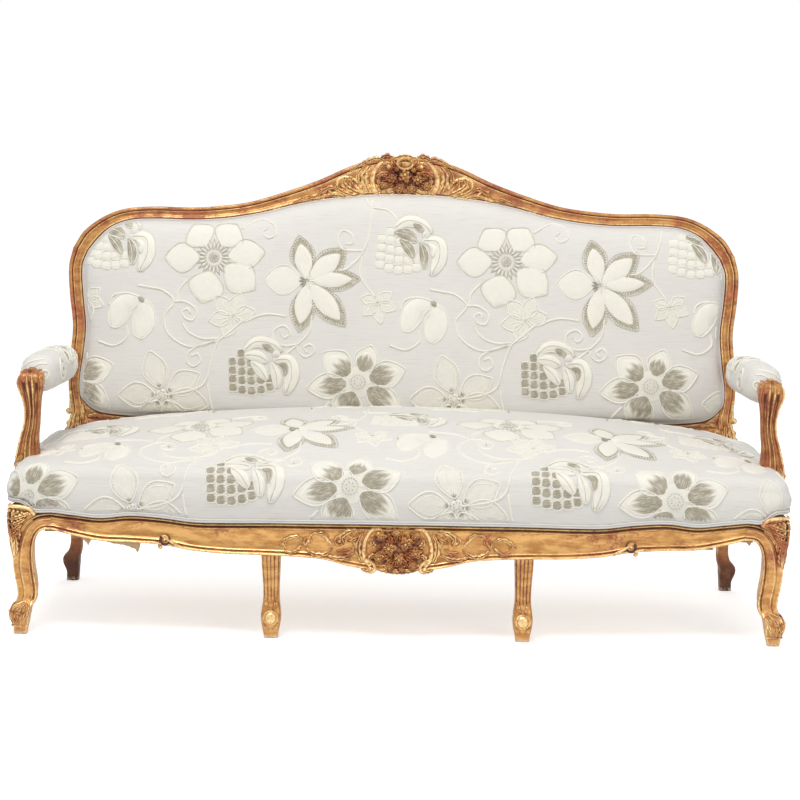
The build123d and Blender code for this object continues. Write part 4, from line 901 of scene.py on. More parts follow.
for name, node, rows, age in (
    ("moulded_crest", "crest_rail", crest_full, back_age),
    ("moulded_bottom_rail", "back_bottom_rail", bottom_rows, 0.7),
):
    member = Form()
    moulded(member, back_stations(rows), age, back_profile)
    make_piece(member, name, gilt, [node], 38)


# ================================================================ crest carving
carved_vein = 0.42


def crest_ground(points):
    """The face of the crest behind its carving."""
    return back_points(points + [0, 0, -6.5])


crest_leaves = (
    # inside the shield, beside the flowers
    ([(30, -12), (50, -18), (72, -8)], 9, 12, 4),
    ([(30, 6), (52, 10), (72, 0)], 9, 12, 4),
    ([(16, -30), (38, -40), (60, -40)], 8, 11, 4),
    ([(22, 26), (30, 40), (24, 52)], 8, 12, 3),
    ([(30, 18), (48, 30), (60, 18)], 8, 12, 4),
    ([(56, -34), (64, -14), (62, 8)], 7, 11, 4),
    # over the edge of the rail
    ([(46, 38), (70, 46), (92, 38), (110, 24)], 9, 13, 4),
    ([(26, 47), (44, 54), (62, 47)], 8, 13, 3),
    ([(70, 40), (92, 40), (118, 26), (138, 12)], 6, 11, 4),
    # the broad leaf that clasps the shield
    ([(84, 30), (99, 8), (98, -16), (86, -40)], 14, 12, 4),
    ([(88, 30), (112, 14), (116, -8), (104, -28)], 8, 10, 4),
    # long acanthus that runs out along the rail
    ([(98, -44), (124, -36), (150, -18), (146, 4)], 11, 13, 5),
    ([(100, -48), (136, -44), (164, -30), (174, -12)], 8, 12, 5),
    ([(110, -50), (146, -51), (178, -46), (200, -52)], 6.5, 11, 5),
    ([(118, -32), (132, -16), (130, 2)], 7, 12, 3),
    ([(158, -38), (180, -26), (200, -36), (220, -50)], 8, 11, 4),
    ([(176, -52), (202, -58), (230, -58), (254, -64)], 5.5, 10, 5),
    ([(216, -50), (236, -50), (258, -58), (280, -68)], 6.5, 9, 4),
)
crest_curls = (
    (40, 26, 11, 1.3, 1.2, 8.0, [(68, -42), (78, -22), (79, 2), (71, 22), (56, 37)]),
    (62, -38, 11, -1.1, 0.4, 5.0, [(79, -14), (78, -28)]),
    (154, -22, 13, -1.25, 0.5, 5.4, [(106, -26), (124, -6), (148, 0), (166, -8)]),
    (208, -42, 10, 1.15, 1.6, 4.4, [(176, -46), (190, -32)]),
    (140, -2, 8, 1.1, 2.6, 4.0, []),
    (240, -54, 7, -1.1, 2.0, 3.4, [(216, -62), (228, -50)]),
)


def spray(form, middle, count, reach, squash, drop):
    """Leaves that spread from behind a bunch of flowers."""
    for k in range(count):
        angle = tau * k / count + 0.15
        spread = [(r * cos(angle) * squash, r * sin(angle) / squash - drop) for r in reach]
        leaves(form, [(spread, 8.5, 9, 3)], carved_vein, 1, middle)


def bunch(form, middle, heads, rise):
    """A bunch of five-petalled flowers: (x, y, radius)."""
    for k, (x, y, radius) in enumerate(heads):
        carved_flower(form, (x, middle + y), radius, 5, rise, start=k * 0.7, lift=3)


crest_heads = (
    (0, 6, 21), (-32, -3, 18), (32, -6, 18), (-13, -27, 16), (18, -28, 15), (-52, -20, 12),
    (53, -22, 12), (-20, 20, 10), (21, 18, 10),
)


def crest_carving():
    """The shield in the middle of the crest, and the carving that runs out from it."""
    form = Form()
    middle = shoulder_height + 80
    # The shield's ground carries a groove mark of 0.7: painted shade behind the flowers.
    boss(form, flat_ground, (0, middle - 3), 84, 3, (0.7, 0.0, 0.6), ratio=0.54, around=48, rings=12)
    spray(form, middle, 16, (14, 34, 52), 1.2, 5)
    bunch(form, middle, crest_heads, 14)
    for side in (-1, 1):
        curls(form, side, middle, crest_curls)
        leaves(form, crest_leaves, carved_vein, side, middle)
        tips = [([(x, -drop), (x + 14, -drop - 4), (x + 28, -drop - 6)], 7 - k, 8, 2)
                for k, (x, drop) in enumerate(((300, 80), (322, 86), (344, 91)))]
        leaves(form, tips, carved_vein, side, middle)
        for k in range(7):
            x, fall = 12 + 24 * k, k * 0.4
            scale = [(x - 9, -49 - fall), (x, -52 - fall), (x + 9, -49 - fall)]
            leaves(form, [(scale, 6, 8, 1)], carved_vein, side, middle)
    ring = spiral((0, middle + 34), 14, 1.0, 0.0, inner=1.0, stretch=1.35)
    strand(form, flat_ground, ring, 4.6, 14.0, (0.1, 0.8, 0.6), sides=7)
    leaves(form, [([(-30, 47), (0, 54), (30, 47)], 6, 13, 5)], carved_vein, 1, middle)
    return laid(form, crest_ground)


make_piece(crest_carving(), "crest_carving", gilt, ["crest_cartouche"], 50)


# ================================================================ seat frame
downwards = np.array([0.0, 0.0, -1.0])
forwards = np.array([0.0, -1.0, 0.0])


def front_rail_stations(rows):
    """Stations of the front rail from rows of (x, top, lower edge)."""
    stations = []
    for x, top, low in rows:
        middle = np.array([x, front_rail_back_y, (top + low) / 2])
        depth = front_rail_back_y - float(front_rail_face(x))
        stations.append((middle, downwards, forwards, top - low, depth))
    return stations


front_rows = eased(front_rail_outline)
front_all = np.concatenate([front_rows[:0:-1] * [-1, 1, 1], front_rows])
front_rail = Form()
moulded(front_rail, front_rail_stations(front_all), front_age, rail_profile)


def apron_edge(points):
    """Ground of the small carving on the rail's lower edge."""
    x = points[:, 0]
    return np.column_stack([x, front_rail_face(x) - points[:, 2] + 0.5, points[:, 1]])


edge_carving = Form()
for side in (-1, 1):
    # The dome behind each pair of scrolls is marked fully as groove: painted shade.
    boss(edge_carving, flat_ground, (side * 513, 219), 13, 1.5, (1.0, 0.0, 0.8), around=20)
    scroll(edge_carving, flat_ground, (side * 513, 220), 10, 1.25 * side, pi / 2 - side * 0.6, 3.6,
           tail=[(side * 474, 203), (side * 492, 212)])
    scroll(edge_carving, flat_ground, (side * 522, 204), 6, -1.2 * side, pi / 2 + side * 0.4, 3.4,
           tail=[(side * 546, 214), (side * 534, 213)])
front_rail.join(laid(edge_carving, apron_edge))
make_piece(front_rail, "moulded_front_rail", gilt, ["front_rail"], 38)

side_rail = Form()
side_stations = []
for y, x, low in eased(side_rail_outline):
    middle = np.array([-side_rail_inner_x, y, (side_rail_top + low) / 2])
    side_stations.append((middle, downwards, -across_x, side_rail_top - low, x - side_rail_inner_x))
moulded(side_rail, side_stations, 0.4, rail_profile)
make_pair(side_rail, "moulded_side_rail", "side_rail", 38)


def leg_sweep_stations(rows):
    """Stations of the moulding down the leg; it is shallower where the leg is slender."""
    stations = []
    for outer_x, outer_z, inner_x, inner_z, face in rows:
        depth = float(np.interp(outer_z, (186, 214), (13, 24)))
        outer = np.array([outer_x, face + depth, outer_z])
        inner = np.array([inner_x, face + depth, inner_z])
        width = np.linalg.norm(outer - inner)
        stations.append(((outer + inner) / 2, (inner - outer) / width, forwards, width, depth))
    return stations


def over_diagonal(points):
    """The same points on the side face of the left front leg."""
    return np.column_stack([points[:, 1] - front_foot_x, points[:, 0] + front_foot_x, points[:, 2]])


def knee_ground(points):
    """Length round the leg's outer corner, height, and lift from the wood."""
    z = points[:, 1]
    stand_in, wide = read_at(z, leg_rows, 1, 2)
    half = wide / 2
    radius = 9.0
    turn = np.clip(points[:, 0] / radius, -pi / 4, pi / 4)
    past = points[:, 0] - turn * radius
    angle = turn + pi / 4
    # Out from the middle of the corner's rounding, then along the flat beyond it
    centre = half * 0.93 - radius
    away_x = np.sin(angle)
    away_y = np.cos(angle)
    reach = radius + points[:, 2]
    x = stand_in - front_foot_x - centre - reach * away_x + past * (past < 0) * -away_y
    y = stand_in - centre - reach * away_y + past * (past > 0) * away_x
    return np.column_stack([x, y, z])


leg_rows = eased(front_leg_outline)
front_leg = Form()
# The core stands back where the mouldings lie on it: heights, then how far
core_heights = (0, 62, 84, 110, 150, 185, 205, 230, 290)
core_insets = (0, 0, 1, 1, 3, 6, 6, 4.5, 4.5)
inset = np.interp(leg_rows[:, 0], core_heights, core_insets)
core = [((s - front_foot_x + i / 3, s + i / 3, z), w - i, w - i)
        for (z, s, w), i in zip(leg_rows, inset)]
square_member(front_leg, core, 0.2)
for line, ground in ((leg_sweep, None), (side_sweep, over_diagonal)):
    sweep = Form()
    moulded(sweep, leg_sweep_stations(eased(line)), 0.3, leg_profile)
    front_leg.join(sweep, ground)
# Knee carving: a lip, shells one over the other that reach in over the front, and leaves below
knee = Form()
lip = curve_through([(-56, 270), (-44, 283), (-24, 288), (0, 289), (18, 289), (36, 285)], 2)
strand(knee, flat_ground, lip, 4.5, 6.0, (0.1, 0.8, 0.3), sides=7)
for k in range(-5, 4):
    spot = (k * 9.0, 280 - max(-k, 0) * 1.4)
    boss(knee, flat_ground, spot, 4.2, 6.0, (0.3, 0.7, 0.4), around=10)
for k, z in enumerate((270, 257, 244, 231)):
    for side, wide in ((-1, 46 - k * 9), (1, 32 - k * 6)):
        shell = [(1, z - 10), (wide * 0.5, z - 3), (wide, z + 7)]
        leaves(knee, [(shell, 8.5, 9 - k * 0.8, 5)], 0.3, side)
for side in (-1, 1):
    leaves(knee, (
        ([(5, 236), (9, 216), (8, 196), (3, 176)], 7.5, 6, 5),
        ([(16, 250), (19, 232), (16, 212)], 6, 6, 4),
    ), 0.4, side)
leaves(knee, [([(0, 240), (0, 212), (0, 184), (0, 150)], 8, 7, 6)], 0.35)
front_leg.join(laid(knee, knee_ground))


def foot_ground(points):
    """The front face of the foot, from its middle."""
    z = points[:, 1]
    stand_in, wide = read_at(z, leg_rows, 1, 2)
    half = wide / 2
    x = points[:, 0] * half / 21 - front_foot_x + stand_in
    return np.column_stack([x, stand_in - half * 0.98 - points[:, 2] * 0.9, z])


foot = Form()
leaves(foot, (
    ([(-3, 22), (-8, 40), (-4, 58), (6, 76)], 9, 6, 4),
    ([(3, 22), (10, 38), (14, 54), (14, 70)], 7, 6, 3),
    ([(-10, 22), (-17, 38), (-16, 56)], 6, 5, 3),
), 0.35)
carved_flower(foot, (-3, 50), 10, 5, 7)
scroll(foot, flat_ground, (9, 66), 5, -1.1, 1.6, 2.6, tail=[(-14, 68), (-2, 74)])
rim_line = [(-20, 21), (-8, 19), (8, 19), (20, 21)]
strand(foot, flat_ground, rim_line, 2.2, 3.0, (0.2, 0.7, 0.6), sides=6)
foot = laid(foot, flat_ground)
front_leg.join(foot, foot_ground)
front_leg.join(foot, lambda points: over_diagonal(foot_ground(points)))
make_pair(front_leg, "carved_front_leg", "front_leg", 45)

middle_leg = Form()
middle_rows = eased(middle_leg_outline)
rings, marks = [], []
turn = np.linspace(0, tau, 96, endpoint=False)
# A rounded square, with eight reeds on each half above the foot
box = 1 / np.maximum(np.abs(np.cos(turn)) ** 5 + np.abs(np.sin(turn)) ** 5, 1e-6) ** 0.2
flutes = np.abs(np.sin(turn * 8))
for z, y, w, d in middle_rows:
    reeded = np.clip((z - 72) / 14, 0, 1)
    reach = box * (1 - 0.075 * reeded * (1 - flutes) ** 1.5)
    x = -middle_leg_x + w / 2 * 0.97 * reach * np.cos(turn)
    rings.append(np.column_stack([x, y + d / 2 * 0.97 * reach * np.sin(turn), np.full(96, z)]))
    # Painted shade between the reeds and a painted highlight on their tops.
    groove = reeded * (1 - flutes) ** 2
    marks.append(np.column_stack([groove, flutes * reeded * 0.5, np.full(96, 0.25)]))
skin(middle_leg, rings, np.array(marks))


def middle_ground(points):
    """The front of the middle leg, from its middle line."""
    z = points[:, 1]
    y, deep = read_at(z, middle_rows, 1, 3)
    return np.column_stack([points[:, 0] - middle_leg_x, y - deep / 2 - points[:, 2] * 0.8, z])


boss(middle_leg, middle_ground, (0, 47), 12, 4.5, (0.0, 0.9, 0.2), ratio=1.25, around=24)
ring = spiral((0, 47), 15, 1.0, 0, inner=1.0)
strand(middle_leg, middle_ground, ring, 2.6, 3.2, (0.2, 0.7, 0.3))
for side in (-1, 1):
    leaves(middle_leg, (
        ([(4, 64), (10, 76), (14, 92)], 6, 4, 3),
        ([(16, 36), (12, 26), (4, 20)], 5, 3, 3),
    ), 0.4, side, ground=middle_ground)
make_pair(middle_leg, "reeded_leg", "middle_leg", 45)


# ================================================================ apron carving
def apron_ground(points):
    """The face of the front rail behind its carving."""
    x = points[:, 0]
    return np.column_stack([x, front_rail_face(x) - points[:, 2] + 5.5, points[:, 1]])


apron_leaves = (
    ([(40, 0), (54, 10), (58, 26)], 8, 11, 4),
    ([(44, -14), (58, -16), (62, -30)], 8, 11, 4),
    ([(76, 36), (86, 14), (86, -10), (76, -34)], 10, 11, 4),
    ([(86, 40), (106, 38), (124, 24), (118, 6)], 10, 11, 4),
    ([(84, 34), (96, 20), (112, 14)], 6, 10, 3),
    ([(94, -10), (112, -20), (136, -22), (156, -16)], 8, 10, 5),
    ([(100, 0), (118, -8), (136, -6)], 6, 9, 3),
    ([(142, 0), (160, -14), (184, -14), (204, 0)], 8, 10, 5),
    ([(150, 24), (168, 32), (188, 28)], 6, 8, 3),
    ([(206, 14), (224, 24), (246, 16), (262, 2)], 7, 9, 5),
    ([(212, -2), (232, -12), (254, -8)], 5.5, 8, 4),
    ([(54, -44), (66, -50), (80, -46)], 6, 10, 3),
)
apron_curls = (
    (42, 34, 11, 1.3, 1.0, 6.4, [(60, -38), (72, -22), (74, 4), (67, 28), (55, 43)]),
    (60, -44, 12, 1.2, 2.2, 6.4, [(70, -26), (58, -30)]),
    (128, 14, 13, -1.2, 1.6, 5.0, [(90, 2), (104, 24), (120, 32)]),
    (196, 14, 12, 1.25, -1.0, 4.6, [(146, 8), (166, 28), (188, 30)]),
    (252, 6, 8, 1.15, 1.4, 3.8, [(212, 4), (228, -8), (244, -6)]),
    (104, 26, 7, 1.0, 0.6, 3.6, []),
)


apron_heads = (
    (-20, 3, 20), (17, 12, 18), (-36, 27, 13), (-3, 36, 13), (39, -8, 16), (3, -22, 16),
    (-42, -20, 14), (33, -36, 12), (-18, -41, 12), (38, 29, 11), (9, -45, 10),
)
apron_fringe = [(-52, -44), (-28, -50), (0, -52), (28, -50), (52, -44)]


def apron_carving():
    """The shield in the middle of the front rail, and the carving that runs out from it."""
    form = Form()
    middle = 211.0
    # The shield's ground carries a groove mark: painted shade behind the flowers.
    boss(form, flat_ground, (0, middle - 2), 69, 3, (0.35, 0.1, 0.3), ratio=0.76, around=48, rings=12)
    spray(form, middle, 16, (14, 32, 47), 1.0, 3)
    bunch(form, middle, apron_heads, 13)
    for side in (-1, 1):
        curls(form, side, middle, apron_curls)
        leaves(form, apron_leaves, carved_vein, side, middle)
    leaves(form, [(apron_fringe, 6.5, 11, 13)], carved_vein, 1, middle)
    return laid(form, apron_ground, 4.6)


make_piece(apron_carving(), "apron_carving", gilt, ["apron_cartouche"], 50)

# ================================================================ arms
wide_flute = [(0.19 * t, 0, -3.0 - 4.5 * sin(pi * t), 0.3 + 0.65 * sin(pi * t), 0)
              for t in np.linspace(0, 1, 5)]
narrow_flute = [(0.45 + 0.10 * t, 0, -2.8 - 3.4 * sin(pi * t), 0.35 + 0.6 * sin(pi * t), 0.1)
                for t in np.linspace(0, 1, 4)]
# Groove paints shade into the flutes and crest a highlight on the ridges; the inner edge carries groove
# values too: painted shade down the support's inner side.
flute_profile = [
    (0, 0, -9, 0.5, 0), (0, 0.5, -3.5, 0.5, 0.1), (0, 2.2, -0.8, 0.45, 0.3),
    (0, 4.6, -0.6, 0.4, 0.4), (0, 6.6, -2.8, 0.8, 0),
    *[(0.16 + share, *row) for share, *row in wide_flute],
    (0.37, 0, -1.2, 0, 0.8), (0.40, 0, -0.3, 0, 1), (0.43, 0, -1.4, 0.1, 0.6), *narrow_flute,
    (0.57, 0, -1.4, 0.1, 0.6), (0.60, 0, -0.3, 0, 1), (0.63, 0, -1.2, 0, 0.8),
    *[(0.65 + share, *row) for share, *row in wide_flute],
    (1, -6.6, -2.8, 0.6, 0.1), (1, -4.6, -0.4, 0, 0.8), (1, -2.2, -0.6, 0, 0.9),
    (1, -0.5, -3.5, 0.1, 0.5), (1, 0, -9, 0.3, 0),
]
# Front of the arm support and roll of the arm, from the seat up and over:
# (y, height, middle x, width)
roll_line = (
    (125, 292, 835, 50), (126, 330, 841, 55), (126, 365, 843, 57), (119, 418, 838, 43),
    (115, 450, 831, 37), (109.5, 481, 828, 36), (104.5, 512, 829, 44), (99.5, 534, 830, 57),
    (97, 548, 831, 59), (101, 561, 832, 53), (112, 571, 832, 44), (128, 576, 831, 38),
    (150, 574, 828, 35), (172, 567, 825, 34),
)
support_rows = eased(arm_support_outline)


def roll_stations():
    """Stations of the fluted face that runs up the support and over the roll."""
    rows = eased(roll_line, 6)
    along = unit(np.gradient(rows[:, :2], axis=0))
    depth = 15.0
    stations = []
    for (y, z, x, width), (way_y, way_z) in zip(rows, along):
        out = np.array([0.0, -way_z, way_y])
        stations.append((np.array([-x, y, z]) - out * depth, -across_x, out, width, depth))
    return stations


support = Form()
low_rows = [((-x, y + 2.5, z), w - 1.5, d - 4) for z, x, y, w, d in support_rows]
square_member(support, low_rows, 0.8)


def support_ground(points):
    """Across the front of the support, height, and lift."""
    z = points[:, 1]
    x, y, w, d = read_at(z, support_rows, 1, 2, 3, 4)
    front = y - d / 2 - points[:, 2] * 0.8 - 0.5
    return np.column_stack([points[:, 0] * w / 50 - x, front, z])


leaves(support, (
    ([(-14, 318), (-17, 340), (-16, 362), (-11, 384)], 10, 7, 4),
    ([(-4, 316), (-5, 334), (-8, 352)], 7, 6, 3),
    ([(-22, 314), (-24, 330), (-22, 346)], 6, 6, 3),
), 0.4, ground=support_ground)

arm = Form()
arm_rows = eased(arm_outline)
arm_rows = arm_rows[arm_rows[:, 0] > 116]
roll_age = 0.5
roll_x = 831
arm_core = [((-x, y + 1, z - 1), w - 5, h - 3) for y, x, z, w, h in arm_rows]
square_member(arm, arm_core, roll_age, level=False)


def roll_cheek(side):
    """The outer or inner cheek of the arm's roll."""
    def ground(points):
        x = -roll_x + side * (22.5 + points[:, 2] * 0.8)
        return np.column_stack([x, points[:, 0], points[:, 1]])
    return ground


def roll_top(points):
    """The top of the roll: across, place along the arm, lift."""
    across, y, lift = points.T
    return np.column_stack([across - 829, y, 574.5 - np.abs(across) ** 2 * 0.012 + lift * 0.9])


# Round body of the roll, between its cheeks
cheek = [(124 + 21 * cos(t), 554 + 18 * sin(t)) for t in np.linspace(0, tau, 33)[:-1]]
rings = [[(-roll_x + x, y, z) for y, z in cheek] for x in (-23, -21, 21, 23)]
skin(arm, rings, (0.35, 0.2, roll_age))
for side in (-1, 1):
    scroll(arm, roll_cheek(side), (123, 553), 13, -1.5, 2.4, 3.6,
           tail=[(168, 556), (150, 563), (134, 566)])
leaves(arm, [([(-2, 112), (-2, 124), (-2, 138), (-2, 154)], 11, 7, 4)], 0.35, ground=roll_top)
moulded(support, roll_stations(), 0.62, flute_profile)
make_pair(support, "fluted_arm_support", "arm_support", 42)
make_pair(arm, "carved_arm", "arm", 42)


# ================================================================ the surfaces of the covers
swell_table = np.array(back_swell, float)
lattice_step = 6.0
lattice_low = np.array([-830.0, 400.0])
lattice_size = (278, 104)


def distance_inside(points):
    """How far points (x, rise) lie inside the opening's outline; negative outside."""
    start = opening
    end = np.roll(opening, -1, axis=0)
    along = end - start
    length = (along**2).sum(1)
    result = np.full(len(points), 1e9)
    crossings = np.zeros(len(points), int)
    for a, ab, squared in zip(start, along, length):
        if squared < 1e-9:
            continue
        rel = points - a
        share = np.clip(rel @ ab / squared, 0, 1)
        result = np.minimum(result, np.hypot(*(rel - share[:, None] * ab).T))
        b = a + ab
        spans = (a[1] > points[:, 1]) != (b[1] > points[:, 1])
        with np.errstate(divide="ignore", invalid="ignore"):
            cut = a[0] + (points[:, 1] - a[1]) / (b[1] - a[1]) * ab[0]
        crossings += spans & (points[:, 0] < cut)
    return np.where(crossings % 2 == 1, result, -result)


lattice_x = lattice_low[0] + lattice_step * np.arange(lattice_size[0])
lattice_rise = lattice_low[1] + lattice_step * np.arange(lattice_size[1])
mesh_x, mesh_rise = np.meshgrid(lattice_x, lattice_rise, indexing="ij")
mesh_points = np.column_stack([mesh_x.ravel(), mesh_rise.ravel()])
edge_distance = distance_inside(mesh_points).reshape(lattice_size)


def on_lattice(values, points):
    """Values of a lattice at points, between its places."""
    spot = (points[:, :2] - lattice_low) / lattice_step
    spot = np.clip(spot, 0, np.array(lattice_size) - 1.001)
    cell = spot.astype(int)
    u, v = (spot - cell).T
    i, j = cell.T
    return (values[i, j] * (1 - u) * (1 - v) + values[i + 1, j] * u * (1 - v)
            + values[i, j + 1] * (1 - u) * v + values[i + 1, j + 1] * u * v)


def back_height(points):
    """Height of the back cover above the face of the back."""
    inside = on_lattice(edge_distance, points)
    share = np.interp(inside, swell_table[:, 0], swell_table[:, 1])
    ripple = 0.8 * np.sin(points[:, 0] / 90.0 + 1.0) * np.sin(points[:, 1] / 70.0)
    return -12.0 + (back_crown + 12.0) * share + ripple * np.clip(inside / 60, 0, 1)


def back_ground(points):
    """Points of the back cover from (x, rise, height over the cloth)."""
    step = 2.0
    here = back_height(points)
    slope_x = (back_height(points + [step, 0, 0]) - back_height(points - [step, 0, 0])) / (2 * step)
    slope_r = (back_height(points + [0, step, 0]) - back_height(points - [0, step, 0])) / (2 * step)
    size = np.sqrt(1 + slope_x**2 + slope_r**2)
    lift = points[:, 2]
    x = points[:, 0] - slope_x / size * lift
    rise = points[:, 1] - slope_r / size * lift
    return back_points(np.column_stack([x, rise, here + lift / size]))


seat_table = eased(seat_heights, 4)
seat_core_x = seat_end_x - seat_roll - 8
# Length of cloth that goes round the roll of the seat's edge
roll_length = seat_roll * 1.45
corner_line = eased(seat_corner_line, 4)
inner_rail = front_rows[front_rows[:, 0] < rail_joint_x]
front_top_table = np.concatenate([inner_rail[:, :2] + [0, 5], corner_line])


def seat_front_y(x):
    """y of the seat's front, just in front of the rail."""
    beyond = np.maximum(np.abs(x) - rail_joint_x, 0)
    return front_rail_face(x) - 3.0 + 0.003 * beyond**2


def seat_ground(points):
    """Points of the seat cover from (p, q, height over the cloth): on top p is x and q is y, and
    past the roll of the edge they run on down the cloth."""
    p, q, lift = points.T
    inner_p = np.clip(p, -seat_core_x, seat_core_x)
    front = seat_front_y(inner_p) + seat_roll
    rear = np.full_like(p, seat_back_y - seat_roll)
    inner_q = np.clip(q, front, rear)
    off_p = p - inner_p
    off_q = q - inner_q
    run = np.hypot(off_p, off_q)
    safe = np.maximum(run, 1e-9)
    way_p = off_p / safe
    way_q = off_q / safe
    size = np.abs(inner_p)
    edge, crown = read_at(size, seat_table, 1, 2)
    reach = np.clip((inner_q - front) / 330.0, 0, 1)
    hollow = 1 - (1 - reach) ** 2.1
    top = edge + (crown - edge) * hollow - 5.0 * np.clip((inner_q - 380) / 140, 0, 1) ** 2
    side_fall = np.clip((size - (seat_core_x - 110)) / 110, 0, 1) ** 2
    top = top - side_fall * (crown - edge) * hollow * 0.35
    bottom = np.interp(size, front_top_table[:, 0], front_top_table[:, 1]) + 1.0
    turned = np.clip(np.abs(way_p) / 0.6, 0, 1)
    side_hem = side_rail_top + 7
    bottom = bottom + (side_hem - bottom) * np.sin(turned * pi / 2)
    rear_hem = seat_rear_hem + (side_hem - seat_rear_hem) * np.clip((size - 780) / 20, 0, 1)
    bottom = np.where(inner_q > rear - 1, rear_hem, bottom)
    drop = top - bottom
    length = drop + seat_roll * 0.5
    share = np.clip(run / length, 0, 1)
    angle = np.clip(run / roll_length, 0, 1) * pi / 2
    out = seat_roll * np.sin(angle)
    down = seat_roll * 0.92 * (1 - np.cos(angle))
    rolled = run > roll_length
    wall = np.clip((run - roll_length) / np.maximum(length - roll_length, 1), 0, 1.2)
    swell = np.where(np.abs(way_p) > 0.7, 9.0, 8.0)
    belly = swell * np.sin(np.clip(wall, 0, 1) * pi * 0.9 + 0.2) - swell * sin(0.2)
    out = out + np.where(rolled, belly, 0) * (1 - 0.3 * wall)
    down = down + np.where(rolled, wall * (drop - seat_roll * 0.92), 0)
    place = np.column_stack([inner_p + way_p * out, inner_q + way_q * out, top - down])
    outward = unit(np.column_stack([way_p * np.sin(angle), way_q * np.sin(angle), np.cos(angle)]))
    return place + outward * lift[:, None], share


# ================================================================ covers
def back_cover_form():
    """The back's cover: rings that shrink from the opening's outline to a middle."""
    form = Form()
    count = 720
    outline = curve_through(np.concatenate([opening, opening[:1]]), 1.0)
    ring = outline[np.linspace(0, len(outline) - 1, count + 1)[:-1].astype(int)]
    middle = np.array([0.0, 690.0])
    near = (0, 0.002, 0.006, 0.012, 0.02, 0.032, 0.048, 0.07, 0.1)
    shares = np.concatenate([near, np.linspace(0.14, 0.97, 30)])
    rows = [ring + (middle - ring) * share for share in shares]
    points = without_lift(np.concatenate([*rows, [middle]]))
    last = (len(shares) - 1) * count
    faces = [lattice(len(shares), count, closed=True), fan(last, count, len(points) - 1)]
    form.add(back_ground(points), faces, points[:, :2])
    return form


back_cover = make_piece(
    back_cover_form(), "padded_back", cover_cloth, ["back_cover", "back_stuffing"])


def seat_cover_form():
    """The seat's cover: its top, and a skirt that runs round it and down to the hem."""
    form = Form()
    columns, rows = 241, 81
    xs = np.linspace(-seat_core_x, seat_core_x, columns)
    front = seat_front_y(xs) + seat_roll
    rear = seat_back_y - seat_roll
    q = front[:, None] + (rear - front[:, None]) * np.linspace(0, 1, rows)
    p = np.broadcast_to(xs[:, None], q.shape)
    top = without_lift(np.column_stack([p.ravel(), q.ravel()]))
    form.add(seat_ground(top)[0], lattice(columns, rows), top[:, :2])
    # Sides of the top in turn, each with the direction that the cloth runs out in, and then a
    # quarter turn at the corner
    sides = (
        (p[:, 0], q[:, 0], (0, -1)), (p[-1], q[-1], (1, 0)),
        (p[::-1, -1], q[::-1, -1], (0, 1)), (p[0, ::-1], q[0, ::-1], (-1, 0)),
    )
    corner = np.linspace(0, pi / 2, 14)[:, None]
    base, ways = [], []
    for side_p, side_q, (way_p, way_q) in sides:
        side = np.column_stack([side_p, side_q])
        base += [side, np.repeat(side[-1:], len(corner), axis=0)]
        ways += [np.tile((way_p, way_q), (len(side), 1)),
                 np.cos(corner) * (way_p, way_q) + np.sin(corner) * (-way_q, way_p)]
    base = np.concatenate(base)
    runs = np.concatenate([[0.0], np.linspace(4, 230, 52)])
    flat = (base + np.concatenate(ways) * runs[:, None, None]).reshape(-1, 2)
    place, share = seat_ground(without_lift(flat))
    form.add(place, lattice(len(runs), len(base), closed=True), flat)
    return form, np.concatenate([np.ones(columns * rows, bool), share < 0.999])


seat_form, seat_keep = seat_cover_form()
seat_cover = make_piece(
    seat_form, "padded_seat", cover_cloth, ["seat_cover", "seat_stuffing"], keep=seat_keep)


# ================================================================ needlework motifs
cream = paint(244, 241, 228)[:3]
ivory = paint(240, 237, 225)[:3]
taupe = paint(160, 151, 130)[:3]
soft_taupe = paint(192, 186, 168)[:3]
band_tint = paint(168, 160, 138)[:3]
sage = paint(206, 202, 182)[:3]
cloth_cream = paint(232, 229, 218)[:3]


def around(centre, angle, points):
    """Points turned by an angle and moved to a centre."""
    points = np.asarray(points, float).reshape(-1, 2)
    turn = np.array([[cos(angle), sin(angle)], [-sin(angle), cos(angle)]])
    return points @ turn + centre


def petal_edge(start, end, width):
    """Outline of a petal along +x, from its root round its pointed tip and back."""
    share = np.linspace(0, 1, 17)
    half = width * np.sin(pi * share ** 1.12) ** 0.72
    length = start + (end - start) * share + 7.0 * share**9
    one = np.column_stack([length, half])
    return np.concatenate([one, (one * [1, -1])[-2::-1]])


def rim_of(line, width):
    """Outline of a leaf along a line, up one side and down the other."""
    reach = width * np.sin(pi * np.linspace(0.03, 0.97, len(line)) ** 1.1) ** 0.62
    ways = side_ways(line) * reach[:, None]
    return np.concatenate([line + ways, (line - ways)[::-1]])


def brushed(dark, pale, reach):
    """A colour that runs out from dark to pale along a petal, further on some of its stitches."""
    dark = np.array(dark)
    pale = np.array(pale)

    def tint(share, across):
        edge = reach + 0.1 * np.sin(across * 9.0 + reach * 40) - 0.16 * across**2
        weight = np.clip((share - edge + 0.1) / 0.2, 0, 1)
        return dark * (1 - weight) + pale * weight
    return tint


# Petals of the flowers: (direction in degrees, length, half width)
round_petals = (
    (124, 90, 39), (57, 92, 39), (7, 119, 36), (-37, 120, 41), (-104, 108, 44), (181, 114, 37),
)
banded_petals = (
    (101, 106, 31), (40, 117, 33), (3, 124, 28), (-49, 138, 33), (-98, 120, 31), (178, 98, 36),
)
dark_petals = (
    (71, 88, 29), (16, 112, 33), (-35, 120, 33), (-114, 100, 37), (188, 118, 31), (140, 104, 35),
)
open_petals = (
    (107, 103, 30), (29, 99, 31), (-12, 108, 30), (181, 100, 30), (-62, 104, 32), (-118, 102, 32),
)
